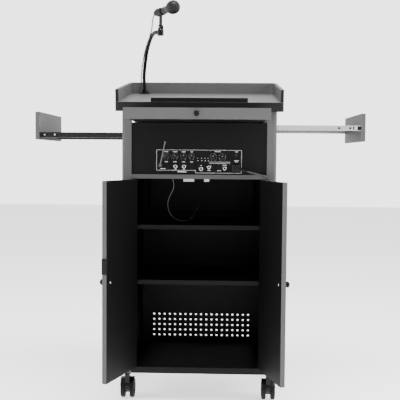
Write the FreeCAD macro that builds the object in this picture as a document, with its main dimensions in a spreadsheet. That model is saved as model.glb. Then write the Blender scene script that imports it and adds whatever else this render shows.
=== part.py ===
"""Presentation lectern: a charcoal laminate cabinet on casters with two doors, a keyboard
drawer, a slide-out tray on each side, a built-in amplifier and a gooseneck microphone.

Millimetres, +Z up, the presenter stands on the -Y side.  The origin is on the floor,
under the middle of the lectern's own bounding box with its drawer and trays pulled out.
"""
import FreeCAD, Part
import math
import os

import Sketcher

doc = FreeCAD.newDocument("lectern")
sheet = doc.addObject("Spreadsheet::Sheet", "Sizes")

# ---------------------------------------------------------------- driving sizes

DRIVING_SIZES = [
    ("cabinet_width", 600, "outside of the two sides"),
    ("cabinet_depth", 463, "front edges to the back of the audience panel"),
    ("cabinet_foot", 115, "underside of the cabinet above the floor"),
    ("side_thick", 38, "thickness of a side"),
    ("side_round", 12, "radius of a side's outer front corner"),
    ("board_thick", 17, "divider and shelves"),
    ("floor_thick", 25, "bottom board"),
    ("audience_thick", 16, "audience panel"),
    ("divider_top", 899, "top face of the divider above the floor"),
    ("upper_shelf_top", 700, "top face of the upper shelf above the floor"),
    ("lower_shelf_top", 482, "top face of the lower shelf above the floor"),
    ("vent_radius", 4.75, "vent hole"),
    ("vent_pitch", 23.5, "vent hole spacing, both ways"),
    ("vent_columns", 19, "vent holes across"),
    ("vent_rows", 5, "vent holes up"),
    ("vent_height", 212, "middle row of vents above the floor"),
    ("desk_width", 648, "desk top"),
    ("desk_length", 490, "desk top along its slope"),
    ("desk_thick", 36, "desk top"),
    ("desk_tilt", 8.5, "slope of the desk top in degrees"),
    ("desk_height", 1141, "front bottom edge of the desk top above the floor"),
    ("desk_overhang", 22, "desk top in front of the cabinet"),
    ("rail_high", 47, "gallery rail above the desk top"),
    ("rail_thick", 12.5, "gallery rail"),
    ("rail_round", 34, "outer radius of the gallery's rear corners"),
    ("rail_setback", 14, "gallery ends behind the desk's front edge"),
    ("stop_width", 372, "book stop"),
    ("stop_high", 16, "book stop"),
    ("stop_thick", 8, "book stop"),
    ("door_thick", 18, "door"),
    ("door_gap", 2.5, "gap round each door"),
    ("door_meeting_gap", 4, "gap between the two closed doors"),
    ("left_door_open", 109, "left door as it stands, degrees from closed"),
    ("right_door_open", 105.5, "right door as it stands, degrees from closed"),
    ("leaf_thick", 1.1, "hinge leaf"),
    ("leaf_high", 64, "hinge leaf"),
    ("knuckle_radius", 3.4, "hinge barrel"),
    ("hinge_pin_radius", 1.9, "hinge pin"),
    ("running_gap", 0.05, "radial clearance of a turning fit"),
    ("door_knob_height", 510, "door knobs above the floor"),
    ("door_knob_inset", 30, "door knob from the door's free edge"),
    ("knob_radius", 11, "door and drawer knobs"),
    ("knob_reach", 22, "door and drawer knobs stand out"),
    ("drawer_high", 40, "drawer front"),
    ("drawer_thick", 19, "drawer front"),
    ("drawer_gap", 1.5, "drawer front to each side"),
    ("drawer_out", 274, "drawer pulled out by"),
    ("drawer_box_length", 372, "drawer tray behind its front"),
    ("drawer_box_wall", 8, "drawer tray walls"),
    ("drawer_box_high", 32, "drawer tray walls"),
    ("tray_high", 108, "side tray panel"),
    ("tray_length", 413, "side tray panel along the cabinet's side"),
    ("tray_thick", 16, "side tray panel"),
    ("tray_setback", 16, "side tray panel behind the cabinet front"),
    ("tray_gap", 2, "side tray panel in its opening"),
    ("tray_bottom", 1031.5, "side tray panel above the floor"),
    ("tray_out", 326, "side tray panel pulled clear of the side by"),
    ("tray_board_thick", 5, "side tray board"),
    ("tray_board_width", 372, "side tray board, across the cabinet"),
    ("slide_length", 440, "side tray slides"),
    ("left_slide_height", 1050, "middle of the left tray's slides above the floor"),
    ("right_slide_height", 1083, "middle of the right tray's slides above the floor"),
    ("channel_high", 28, "outer slide member"),
    ("channel_thick", 12, "outer slide member"),
    ("channel_sheet", 1.5, "slide steel"),
    ("slide_rail_high", 20, "inner slide member"),
    ("slide_rail_thick", 7, "inner slide member"),
    ("amp_panel_setback", 4, "amplifier bay panel behind the cabinet front"),
    ("amp_panel_thick", 12, "amplifier bay panel"),
    ("amp_panel_drop", 1.5, "amplifier bay panel below the drawer front"),
    ("faceplate_width", 332, "amplifier faceplate"),
    ("faceplate_high", 92, "amplifier faceplate"),
    ("faceplate_thick", 2.5, "amplifier faceplate"),
    ("faceplate_bottom", 904, "amplifier faceplate above the floor"),
    ("faceplate_lap", 4, "amplifier faceplate over its opening, each side"),
    ("chassis_depth", 190, "amplifier chassis"),
    ("speaker_box_width", 450, "speaker cover"),
    ("speaker_box_depth", 50, "speaker cover"),
    ("speaker_box_lift", 27, "speaker cover above the upper shelf"),
    ("speaker_radius", 50, "speaker cone"),
    ("speaker_spacing", 230, "between the speaker cones"),
    ("grille_width", 430, "speaker grille"),
    ("grille_high", 150, "speaker grille"),
    ("grille_thick", 14, "speaker grille"),
    ("caster_inset", 19, "caster stem from the cabinet's outer face"),
    ("caster_front", 42, "front caster stem behind the cabinet front"),
    ("caster_rear", 50, "rear caster stem in front of the cabinet back"),
    ("wheel_radius", 39, "caster wheel"),
    ("wheel_width", 18, "each of a caster's two wheels"),
    ("caster_body_width", 18, "caster housing between its wheels"),
    ("caster_trail", 20, "caster axle behind its stem"),
    ("axle_radius", 4, "caster axle"),
    ("stem_radius", 5, "caster stem"),
    ("stem_length", 40, "caster stem inside the side"),
    ("neck_radius", 7, "gooseneck"),
    ("flange_radius", 22, "gooseneck flange"),
    ("mic_ball_radius", 26, "microphone ball"),
    ("cord_radius", 3.5, "power cord"),
    ("mic_cable_radius", 2.35, "microphone cable"),
    ("wire_radius", 1, "loose wire in the upper bay"),
    ("coil_radius", 38.5, "power cord coil at the middle of its turns"),
]

# Chosen places of the gooseneck, the microphone and the cords, from the cabinet's
# front plane: x to the right, y towards the audience, z above the floor.

NECK_FOOT = (-253, 420)
NECK_ROUTE = [
    (-253, 419, 1250),
    (-255, 415, 1275),
    (-257, 406, 1310),
    (-253, 389, 1347),
    (-245, 361, 1384),
    (-236, 322, 1415),
    (-224, 275, 1438),
    (-211, 224, 1455),
    (-197, 175, 1465),
    (-183, 133, 1466),
    (-171, 108, 1460),
    (-160, 94, 1452),
]
MIC_CABLE_ROUTE = [
    (-181.6, 129.5, 1539.9),
    (-188, 140.2, 1538.5),
    (-194.5, 149, 1527),
    (-197.5, 153.5, 1508),
    (-199, 157, 1489),
    (-203, 163, 1473),
    (-209, 178, 1459),
    (-220, 221, 1447.5),
    (-233.5, 271, 1430.5),
    (-246, 318, 1408),
    (-256, 357, 1379),
    (-264.5, 386, 1344),
    (-269, 404, 1309),
    (-270, 413, 1283),
    (-274, 417, 1262),
    (-280, 419, 1244),
]
BAY_WIRE_ROUTE = [
    (-113, 170, 882),
    (-110, 169, 866),
    (-107, 170, 849),
    (-112, 170, 829),
    (-125, 171, 806),
    (-133, 171, 781),
    (-132, 172, 756),
    (-124, 174, 734),
    (-109, 179, 716),
    (-88, 188, 704),
    (-64, 201, 701.4),
    (-46, 220, 704),
    (-35, 246, 714),
    (-27, 280, 728),
    (-19, 316, 741),
    (-13, 352, 751),
    (-10, 380, 754),
    (-9, 397, 755),
]
POWER_CORD_ROUTE = [
    (187.84, -12, 912.7),
    (216, -13, 905),
    (244, -17, 897.5),
    (266, -18, 888),
    (283, -16, 872),
    (296, -13, 848),
    (305, -6, 819),
    (308.5, 14, 786),
    (308, 46, 751),
    (306.5, 86, 707),
    (305.5, 130, 655),
    (305, 176, 594),
    (305, 220, 523),
    (305, 262, 445),
    (305, 300, 363),
    (305, 337, 282),
    (305, 375, 210),
    (305.5, 415, 156),
    (305, 457, 124),
    (300, 494, 96),
    (286, 515, 62),
    (262, 528, 30),
    (233, 535, 8),
    (203, 536.5, 4),
    (172, 536, 4),
]
COIL_MIDDLE = (140, 494)
CORD_CLIP_RUNS = ((11, 12), (14, 15))


class Size:
    """A length or an angle kept both as a number and as the sheet formula behind it."""

    def __init__(self, text, value):
        self.text = text
        self.value = value

    def __add__(self, other):
        other = sized(other)
        return Size(f"({self.text} + {other.text})", self.value + other.value)

    def __sub__(self, other):
        other = sized(other)
        return Size(f"({self.text} - {other.text})", self.value - other.value)

    def __mul__(self, other):
        other = sized(other)
        return Size(f"({self.text} * {other.text})", self.value * other.value)

    def __truediv__(self, other):
        other = sized(other)
        return Size(f"({self.text} / {other.text})", self.value / other.value)

    def __neg__(self):
        return Size(f"(-1 * {self.text})", -self.value)

    def __radd__(self, other):
        return sized(other) + self

    def __rsub__(self, other):
        return sized(other) - self

    def __rmul__(self, other):
        return sized(other) * self


def sized(value):
    """Give a plain number the same form as a Size."""
    if isinstance(value, Size):
        return value
    return Size(f"{value:.6f}", float(value))


def cosine(angle):
    angle = sized(angle)
    return Size(f"cos({angle.text} * 1 deg)", math.cos(math.radians(angle.value)))


def sine(angle):
    angle = sized(angle)
    return Size(f"sin({angle.text} * 1 deg)", math.sin(math.radians(angle.value)))


class Sizes:
    """The sheet's named values, each as a Size attribute."""


S = Sizes()
for row, (name, number, note) in enumerate(DRIVING_SIZES, start=1):
    sheet.set(f"A{row}", str(number))
    sheet.setAlias(f"A{row}", name)
    sheet.set(f"B{row}", note)
    setattr(S, name, Size(f"Sizes.{name}", float(number)))
doc.recompute()

# ---------------------------------------------------------------- derived places

half_width = S.cabinet_width / 2
inner_half = half_width - S.side_thick
front = (S.drawer_out + S.knob_reach - S.cabinet_depth - S.grille_thick) / 2
back = front + S.cabinet_depth
inner_back = back - S.audience_thick
floor_top = S.cabinet_foot + S.floor_thick
divider_bottom = S.divider_top - S.board_thick
slope = sine(S.desk_tilt) / cosine(S.desk_tilt)
desk_front = front - S.desk_overhang
SEAT = 0.2


def under_desk(y):
    """Height of the desk's underside at a place y behind the desk's front edge line."""
    return S.desk_height + (y - desk_front) * slope


drawer_top = S.desk_height - 0.5
drawer_bottom = drawer_top - S.drawer_high
bay_panel_top = drawer_bottom - S.amp_panel_drop
tray_top = S.tray_bottom + S.tray_high
speaker_low = S.upper_shelf_top + S.speaker_box_lift
speaker_tall = divider_bottom - 1 - speaker_low
speaker_middle = speaker_low + speaker_tall / 2
tray_front = front + S.tray_setback

# ---------------------------------------------------------------- drawing helpers

nodes = []
PLANES = {"XY": "XY_Plane", "XZ": "XZ_Plane", "YZ": "YZ_Plane"}


def place(thing, at, turn=None, axis=(0, 0, 1)):
    """Bind an object's position, and its turn about an axis, to the sheet."""
    if turn is not None:
        spin = FreeCAD.Rotation(FreeCAD.Vector(*axis), sized(turn).value)
        thing.Placement = FreeCAD.Placement(FreeCAD.Vector(), spin)
        thing.setExpression("Placement.Rotation.Angle", sized(turn).text)
    for letter, value in zip("xyz", at):
        thing.setExpression(f"Placement.Base.{letter}", sized(value).text)
    return thing


def bind(thing, **values):
    for field, value in values.items():
        thing.setExpression(field, sized(value).text)
    return thing


def box(name, at, length, width, height):
    """A board: its lowest corner and its extent along X, Y and Z."""
    thing = doc.addObject("Part::Box", name)
    bind(thing, Length=length, Width=width, Height=height)
    return place(thing, at)


AXES = {"x": ((0, 1, 0), 90), "y": ((1, 0, 0), -90), "z": ((0, 0, 1), 0)}


def rod(name, at, radius, length, along="z"):
    """A round bar from a point along one axis."""
    thing = doc.addObject("Part::Cylinder", name)
    bind(thing, Radius=radius, Height=length)
    axis, turn = AXES[along]
    return place(thing, at, turn, axis)


def joined(name, things):
    thing = doc.addObject("Part::MultiFuse", name)
    thing.Shapes = things
    return thing


def cut(name, base, tools):
    """Take the tools away from the base."""
    if len(tools) > 1:
        tool = joined(f"{name}_tools", tools)
    else:
        tool = tools[0]
    thing = doc.addObject("Part::Cut", name)
    thing.Base = base
    thing.Tool = tool
    return thing


def group(name, things):
    """Several separate solids of one sub-part."""
    thing = doc.addObject("Part::Compound", name)
    thing.Links = things
    return thing


def body(name):
    return doc.addObject("PartDesign::Body", name)


def sketch(owner, plane):
    thing = owner.newObject("Sketcher::SketchObject", f"{owner.Name}_outline")
    base = [f for f in owner.Origin.OriginFeatures if f.Role == PLANES[plane]][0]
    thing.AttachmentSupport = [(base, "")]
    thing.MapMode = "FlatFace"
    return thing


def pin_point(drawn, geometry, end, across, up):
    """Fix one point of a sketch to the sheet, measured from the sketch's origin."""
    across, up = sized(across), sized(up)
    first = drawn.addConstraint(
        Sketcher.Constraint("DistanceX", -1, 1, geometry, end, across.value)
    )
    drawn.setExpression(f"Constraints[{first}]", across.text)
    second = drawn.addConstraint(
        Sketcher.Constraint("DistanceY", -1, 1, geometry, end, up.value)
    )
    drawn.setExpression(f"Constraints[{second}]", up.text)


def outline(drawn, points):
    """A closed polygon whose every corner is bound to the sheet."""
    start = drawn.GeometryCount
    count = len(points)
    spots = [FreeCAD.Vector(sized(p[0]).value, sized(p[1]).value, 0) for p in points]
    for i in range(count):
        drawn.addGeometry(Part.LineSegment(spots[i], spots[(i + 1) % count]))
    for i in range(count):
        following = start + (i + 1) % count
        drawn.addConstraint(
            Sketcher.Constraint("Coincident", start + i, 2, following, 1)
        )
    for i, (across, up) in enumerate(points):
        pin_point(drawn, start + i, 1, across, up)


def ring(drawn, across, up, radius):
    """A circle bound to the sheet."""
    radius = sized(radius)
    middle = FreeCAD.Vector(sized(across).value, sized(up).value, 0)
    geometry = drawn.addGeometry(
        Part.Circle(middle, FreeCAD.Vector(0, 0, 1), radius.value)
    )
    pin_point(drawn, geometry, 3, across, up)
    index = drawn.addConstraint(Sketcher.Constraint("Radius", geometry, radius.value))
    drawn.setExpression(f"Constraints[{index}]", radius.text)


def pad(owner, drawn, length, plane):
    """Pull a sketch out along +X, +Y or +Z, whichever its plane faces."""
    thing = owner.newObject("PartDesign::Pad", f"{owner.Name}_pad")
    thing.Profile = drawn
    thing.Reversed = plane == "XZ"
    bind(thing, Length=length)
    return thing


def pocket_through(owner, drawn):
    """Cut a sketch right through, both ways."""
    thing = owner.newObject("PartDesign::Pocket", f"{owner.Name}_pocket")
    thing.Profile = drawn
    thing.SideType = "Symmetric"
    thing.Type = "ThroughAll"
    return thing


def spun(owner, drawn, axis="V_Axis"):
    """Turn a half outline all the way round the sketch's own axis."""
    thing = owner.newObject("PartDesign::Revolution", f"{owner.Name}_turned")
    thing.Profile = drawn
    thing.ReferenceAxis = (drawn, [axis])
    thing.Angle = 360
    return thing


def edge_names(shape, wanted):
    return [f"Edge{i}" for i, e in enumerate(shape.Edges, start=1) if wanted(e)]


def softened(owner, base, wanted, radius, kind="PartDesign::Fillet"):
    """Round, or with PartDesign::Chamfer bevel, the edges that the test picks."""
    doc.recompute()
    thing = owner.newObject(kind, f"{owner.Name}_soft")
    thing.Base = (base, edge_names(base.Shape, wanted))
    if kind == "PartDesign::Fillet":
        bind(thing, Radius=radius)
    else:
        bind(thing, Size=radius)
    return thing


def upright(edge, x, y, near=0.01):
    """True for an edge parallel to Z that stands at x, y in the body's own frame."""
    ends = [v.Point for v in edge.Vertexes]
    return len(ends) == 2 and all(
        abs(p.x - sized(x).value) < near and abs(p.y - sized(y).value) < near
        for p in ends
    )


def keep(thing, label=None):
    """Hand a finished sub-part in under its label."""
    thing.Label = label or thing.Name
    nodes.append(thing)
    return thing


def plate(name, plane, points, depth, at, turn=None, axis=(0, 0, 1)):
    """A body padded from one polygon."""
    owner = body(name)
    drawn = sketch(owner, plane)
    outline(drawn, points)
    pad(owner, drawn, depth, plane)
    return place(owner, at, turn, axis)


def rectangle(width, height):
    return [(0, 0), (width, 0), (width, height), (0, height)]


# ---------------------------------------------------------------- cabinet


def side_panel(name, side):
    """A side: cut to the desk's slope, with the tray's opening and a round front corner."""
    owner = body(name)
    low = S.cabinet_foot
    top_front = under_desk(front) - SEAT - low
    top_back = under_desk(back) - SEAT - low
    drawn = sketch(owner, "YZ")
    outline(drawn, [(0, 0), (S.cabinet_depth, 0), (S.cabinet_depth, top_back), (0, top_front)])
    base = pad(owner, drawn, S.side_thick, "YZ")
    outer = 0 if side < 0 else S.side_thick
    softened(owner, base, lambda e: upright(e, outer, 0), S.side_round)
    doc.recompute()
    hole = sketch(owner, "YZ")
    y_low = S.tray_setback - S.tray_gap
    y_high = S.tray_setback + S.tray_length + S.tray_gap
    z_low = S.tray_bottom - S.tray_gap - low
    z_high = tray_top + S.tray_gap - low
    outline(hole, [(y_low, z_low), (y_high, z_low), (y_high, z_high), (y_low, z_high)])
    pocket_through(owner, hole)
    doc.recompute()
    bores = sketch(owner, "XY")
    x_stem = S.caster_inset if side < 0 else S.side_thick - S.caster_inset
    for y_stem in (S.caster_front, S.cabinet_depth - S.caster_rear):
        ring(bores, x_stem, y_stem, S.stem_radius + S.running_gap)
    pocket = owner.newObject("PartDesign::Pocket", f"{name}_stem_bores")
    pocket.Profile = bores
    pocket.Reversed = True
    bind(pocket, Length=S.stem_length)
    x = -half_width if side < 0 else inner_half
    return keep(place(owner, (x, front, low)))


def audience_panel():
    """The panel that faces the audience, with its field of round vents."""
    owner = body("audience_panel")
    low = S.cabinet_foot
    top = under_desk(inner_back) - SEAT - low
    drawn = sketch(owner, "XZ")
    outline(drawn, rectangle(inner_half * 2, top))
    pad(owner, drawn, S.audience_thick, "XZ")
    doc.recompute()
    first = inner_half - S.vent_pitch * (S.vent_columns - 1) / 2
    middle = S.vent_height - low
    holes = sketch(owner, "XZ")
    for step in range(int(S.vent_rows.value)):
        up = middle + S.vent_pitch * (step - (S.vent_rows - 1) / 2)
        ring(holes, first, up, S.vent_radius)
    column = pocket_through(owner, holes)
    doc.recompute()
    rows = owner.newObject("PartDesign::LinearPattern", "vent_columns_pattern")
    rows.Originals = [column]
    rows.Direction = (holes, ["H_Axis"])
    rows.Mode = "Spacing"
    bind(rows, Offset=S.vent_pitch, Occurrences=S.vent_columns)
    owner.Tip = rows
    doc.recompute()
    speakers_drawn = sketch(owner, "XZ")
    for side in (-1, 1):
        x = inner_half + side * S.speaker_spacing / 2
        ring(speakers_drawn, x, speaker_middle - low, S.speaker_radius)
    owner.Tip = pocket_through(owner, speakers_drawn)
    return keep(place(owner, (-inner_half, inner_back, low)))


def inner_board(name, top, thick, setback):
    """A level board between the sides."""
    return box(
        name,
        (-inner_half, front + setback, top - thick),
        inner_half * 2,
        S.cabinet_depth - S.audience_thick - setback,
        thick,
    )


def cabinet():
    side_panel("side_panel_left", -1)
    side_panel("side_panel_right", 1)
    audience_panel()
    keep(inner_board("bottom_board", floor_top, S.floor_thick, 0))
    keep(inner_board("divider_board", S.divider_top, S.board_thick, 0))
    behind_doors = S.door_thick + S.door_gap
    upper = inner_board("upper_shelf", S.upper_shelf_top, S.board_thick, behind_doors)
    lower = inner_board("lower_shelf", S.lower_shelf_top, S.board_thick, behind_doors)
    keep(group("shelves", [upper, lower]))


# ---------------------------------------------------------------- desk


def on_desk(across, along, above):
    """A place in the desk's sloping frame: along its slope and above its underside."""
    return (
        sized(across),
        desk_front + along * cosine(S.desk_tilt) - above * sine(S.desk_tilt),
        S.desk_height + along * sine(S.desk_tilt) + above * cosine(S.desk_tilt),
    )


def desk():
    half = S.desk_width / 2
    top = body("desk_top")
    drawn = sketch(top, "XY")
    outline(drawn, rectangle(S.desk_width, S.desk_length))
    base = pad(top, drawn, S.desk_thick, "XY")
    corners = [(0, 0), (S.desk_width, 0)]
    softened(
        top, base, lambda e: any(upright(e, x, y) for x, y in corners), S.side_round
    )
    tilt = (S.desk_tilt, (1, 0, 0))
    keep(place(top, on_desk(-half, sized(0), sized(0)), *tilt))

    rail = body("gallery_rail")
    drawn = sketch(rail, "XY")
    length = S.desk_length - S.rail_setback
    near, far = S.rail_thick, S.desk_width - S.rail_thick
    outline(
        drawn,
        [
            (0, 0),
            (near, 0),
            (near, length - near),
            (far, length - near),
            (far, 0),
            (S.desk_width, 0),
            (S.desk_width, length),
            (0, length),
        ],
    )
    base = pad(rail, drawn, S.rail_high, "XY")
    outer = [(0, length), (S.desk_width, length)]
    inner = [(near, length - near), (far, length - near)]
    bent = softened(
        rail, base, lambda e: any(upright(e, x, y) for x, y in outer), S.rail_round
    )
    softened(
        rail,
        bent,
        lambda e: any(upright(e, x, y) for x, y in inner),
        S.rail_round - S.rail_thick,
    )
    keep(place(rail, on_desk(-half, S.rail_setback, S.desk_thick), *tilt))

    stop = plate(
        "book_stop",
        "XY",
        rectangle(S.stop_width, S.stop_thick),
        S.stop_high,
        on_desk(-S.stop_width / 2, sized(3), S.desk_thick),
        *tilt,
    )
    keep(stop)


# ---------------------------------------------------------------- doors


def hinge_line(side):
    """The axis of a door's hinge pins, just in front of the seam."""
    return side * (inner_half - 4), front - 3.6


def door_width():
    return inner_half - S.door_gap - S.door_meeting_gap / 2


def swung(side, x, y):
    """Where a place on a closed door goes when the door stands open."""
    pivot_x, pivot_y = hinge_line(side)
    angle = side * (S.left_door_open if side < 0 else S.right_door_open)
    c, s = cosine(angle), sine(angle)
    dx, dy = x - pivot_x, y - pivot_y
    return pivot_x + dx * c - dy * s, pivot_y + dx * s + dy * c, angle


def on_door(thing, side, at):
    """Place a piece that is drawn for the closed door on the open one."""
    x, y, angle = swung(side, sized(at[0]), sized(at[1]))
    return place(thing, (x, y, at[2]), angle)


def knob(name):
    """A turned knob on its foot, its axis along -Y from the local origin."""
    owner = body(name)
    drawn = sketch(owner, "XY")
    reach, r = S.knob_reach, S.knob_radius
    outline(
        drawn,
        [
            (0, 0),
            (r * 0.55, 0),
            (r * 0.45, -reach * 0.3),
            (r * 0.6, -reach * 0.45),
            (r, -reach * 0.6),
            (r, -reach * 0.85),
            (r * 0.7, -reach),
            (0, -reach),
        ],
    )
    spun(owner, drawn)
    return owner


HINGE_PLACES = (0.12, 0.5, 0.88)


def hinge_levels():
    low = floor_top + S.door_gap
    tall = divider_bottom - S.door_gap - low
    return [low + tall * share - S.leaf_high / 2 for share in HINGE_PLACES]


def leaf(name, side, low, moving):
    """One hinge leaf with its share of the barrel, drawn for the closed door."""
    x, y = hinge_line(side)
    third = S.leaf_high / 3
    gap = 0.3
    if moving:
        inner_x = side * (inner_half - S.door_gap + 0.05)
        depth = S.door_thick - 1
        spans = [(third + gap, third - gap * 2)]
        bore = S.hinge_pin_radius + S.running_gap
    else:
        inner_x = side * inner_half
        depth = S.door_thick
        spans = [(sized(0), third), (third * 2, third)]
        bore = S.hinge_pin_radius
    outward = (side > 0) == moving
    corner = inner_x if outward else inner_x - S.leaf_thick
    sheet_piece = box(
        f"{name}_sheet",
        (corner, front - 3, low + gap),
        S.leaf_thick,
        depth + 3,
        S.leaf_high - gap * 2,
    )
    pieces = []
    for index, (start, tall) in enumerate(spans):
        pieces.append(rod(f"{name}_barrel{index}", (x, y, low + start), S.knuckle_radius, tall))
    holes = [rod(f"{name}_bore", (x, y, low - 1), bore, S.leaf_high + 2)]
    if moving:
        clear = [sized(0), third * 2]
    else:
        clear = [third]
    for index, start in enumerate(clear):
        holes.append(
            rod(
                f"{name}_clear{index}",
                (x, y, low + start - (gap if start.value else 1)),
                S.knuckle_radius + gap,
                third + gap * 2 if not moving else third + gap + (1 if not start.value else 1),
            )
        )
    return cut(name, joined(f"{name}_solid", [sheet_piece] + pieces), holes)


def doors():
    low = floor_top + S.door_gap
    tall = divider_bottom - S.door_gap - low
    wide = door_width()
    fixed = []
    for side, word in ((-1, "left"), (1, "right")):
        panel = box(f"door_{word}", (0, 0, 0), wide, S.door_thick, tall)
        x = -inner_half + S.door_gap if side < 0 else S.door_meeting_gap / 2
        keep(on_door(panel, side, (x, front, low)))
        turner = knob(f"door_knob_{word}")
        knob_x = side * (S.door_meeting_gap / 2 + S.door_knob_inset)
        keep(on_door(turner, side, (knob_x, front, S.door_knob_height)))
        moving = []
        for index, level in enumerate(hinge_levels()):
            fixed.append(leaf(f"fixed_leaf_{word}{index}", side, level, False))
            x_pin, y_pin = hinge_line(side)
            fixed.append(
                rod(f"pin_{word}{index}", (x_pin, y_pin, level), S.hinge_pin_radius, S.leaf_high)
            )
            piece = leaf(f"moving_leaf_{word}{index}", side, level, True)
            moving.append(piece)
        set_ = group(f"hinge_leaves_{word}", moving)
        keep(on_door(set_, side, (0, 0, 0)))
    keep(group("hinge_leaves_cabinet", fixed))
    latch()
    catches()


def latch():
    """An angle plate on the left door's free edge that the right door's lock grips."""
    edge = -S.door_meeting_gap / 2
    sheet_t = 1.5
    tall = 58
    low = S.door_knob_height + 32
    on_edge = box("latch_edge", (edge, front - 1.2, low), sheet_t, S.door_thick + 1.2 + sheet_t, tall)
    on_face = box("latch_face", (edge - 9, front + S.door_thick, low), 9, sheet_t, tall)
    keep(on_door(joined("door_latch", [on_edge, on_face]), -1, (0, 0, 0)))


def catches():
    """Two magnetic catches under the divider, behind the closed doors' top corners."""
    pieces = []
    for index, x in enumerate((-34, 24)):
        wide = 42 - index * 22
        pieces.append(
            box(
                f"catch{index}",
                (x - wide / 2 + (-6 if index == 0 else 6), front + S.door_thick + 3, divider_bottom - 11),
                wide,
                14,
                11,
            )
        )
    keep(group("door_catches", pieces))


# ---------------------------------------------------------------- drawer


def drawer():
    out = front - S.drawer_out
    wide = (inner_half - S.drawer_gap) * 2
    face = box("drawer_front", (-wide / 2, out, drawer_bottom), wide, S.drawer_thick, S.drawer_high)
    keep(face)
    turner = knob("drawer_knob")
    keep(place(turner, (0, out, drawer_bottom + S.drawer_high / 2)))

    half = inner_half - S.channel_thick - 1
    low = drawer_bottom + 2.5
    start = out + S.drawer_thick
    block = box("drawer_block", (-half, start, low), half * 2, S.drawer_box_length, S.drawer_box_high)
    wall = S.drawer_box_wall
    well = box(
        "drawer_well",
        (-half + wall, start + wall, low + 5),
        half * 2 - wall * 2,
        S.drawer_box_length - wall * 2,
        S.drawer_box_high,
    )
    keep(cut("drawer_tray", block, [well]))

    rails = []
    channels = []
    length = S.drawer_box_length + 20
    middle = low + S.drawer_box_high / 2 + 1
    for side, word in ((-1, "left"), (1, "right")):
        x_rail = half if side > 0 else -half - S.slide_rail_thick
        rails.append(
            box(
                f"drawer_rail_{word}",
                (x_rail, start + 2, middle - S.slide_rail_high / 2),
                S.slide_rail_thick,
                length - 4,
                S.slide_rail_high,
            )
        )
        channels.append(drawer_channel(f"drawer_channel_{word}", side, middle, length))
    keep(group("drawer_rails", rails))
    return channels


def drawer_channel(name, side, middle, length):
    """A C-shaped slide member hung from the desk by a sloping-topped side plate."""
    sheet_t = S.channel_sheet
    tall, deep = S.channel_high, S.channel_thick - 1
    owner = body(name)
    drawn = sketch(owner, "XZ")
    s = side
    outline(
        drawn,
        [
            (0, 0),
            (-s * deep, 0),
            (-s * deep, sheet_t * 2),
            (-s * (deep - sheet_t), sheet_t * 2),
            (-s * (deep - sheet_t), sheet_t),
            (-s * sheet_t, sheet_t),
            (-s * sheet_t, tall - sheet_t),
            (-s * (deep - sheet_t), tall - sheet_t),
            (-s * (deep - sheet_t), tall - sheet_t * 2),
            (-s * deep, tall - sheet_t * 2),
            (-s * deep, tall),
            (0, tall),
        ],
    )
    pad(owner, drawn, length, "XZ")
    x = side * (inner_half - 0.5)
    begin = front + S.drawer_thick + 2
    place(owner, (x, begin, middle - tall / 2))
    hanger_x = x if side < 0 else x - sheet_t
    start, stop = begin + 20, begin + length - 20
    low = middle + tall / 2 - 1
    hanger = plate(
        f"{name}_hanger",
        "YZ",
        [
            (0, 0),
            (stop - start, 0),
            (stop - start, under_desk(stop) - SEAT - low),
            (0, under_desk(start) - SEAT - low),
        ],
        sheet_t,
        (hanger_x, start, low),
    )
    return joined(f"{name}_hung", [owner, hanger])


# ---------------------------------------------------------------- side trays


def tray_slides(side, word, height):
    """The fixed members of a tray's two slides: the near one on the bay panel's back,
    the far one on feet that stand off the audience panel."""
    sheet_t = S.channel_sheet
    tall, deep = S.channel_high, S.channel_thick
    near_back = front + S.amp_panel_setback + S.amp_panel_thick
    far_back = tray_front + S.tray_length - 2
    pieces = []
    start = -inner_half + 4 if side < 0 else inner_half - 4 - S.slide_length
    for place_word, back_y, facing in (("near", near_back + 0.5, 1), ("far", far_back, -1)):
        owner = body(f"tray_channel_{word}_{place_word}")
        drawn = sketch(owner, "YZ")
        f = facing
        outline(
            drawn,
            [
                (0, 0),
                (f * deep, 0),
                (f * deep, sheet_t * 2),
                (f * (deep - sheet_t), sheet_t * 2),
                (f * (deep - sheet_t), sheet_t),
                (f * sheet_t, sheet_t),
                (f * sheet_t, tall - sheet_t),
                (f * (deep - sheet_t), tall - sheet_t),
                (f * (deep - sheet_t), tall - sheet_t * 2),
                (f * deep, tall - sheet_t * 2),
                (f * deep, tall),
                (0, tall),
            ],
        )
        pad(owner, drawn, S.slide_length, "YZ")
        place(owner, (start, back_y, height - tall / 2))
        if place_word == "far":
            feet = [
                box(
                    f"slide_foot_{word}{index}",
                    (start + S.slide_length * share - 10, far_back - 0.5, height - 8),
                    20,
                    inner_back - far_back + 0.5,
                    16,
                )
                for index, share in enumerate((0.2, 0.8))
            ]
            pieces.append(joined(f"tray_channel_{word}_far_footed", [owner] + feet))
        else:
            spacers = [
                box(
                    f"slide_spacer_{word}{index}",
                    (start + S.slide_length * share - 10, near_back, height - 8),
                    20,
                    1,
                    16,
                )
                for index, share in enumerate((0.2, 0.8))
            ]
            pieces.append(joined(f"tray_channel_{word}_near_set", [owner] + spacers))
    return pieces


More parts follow.
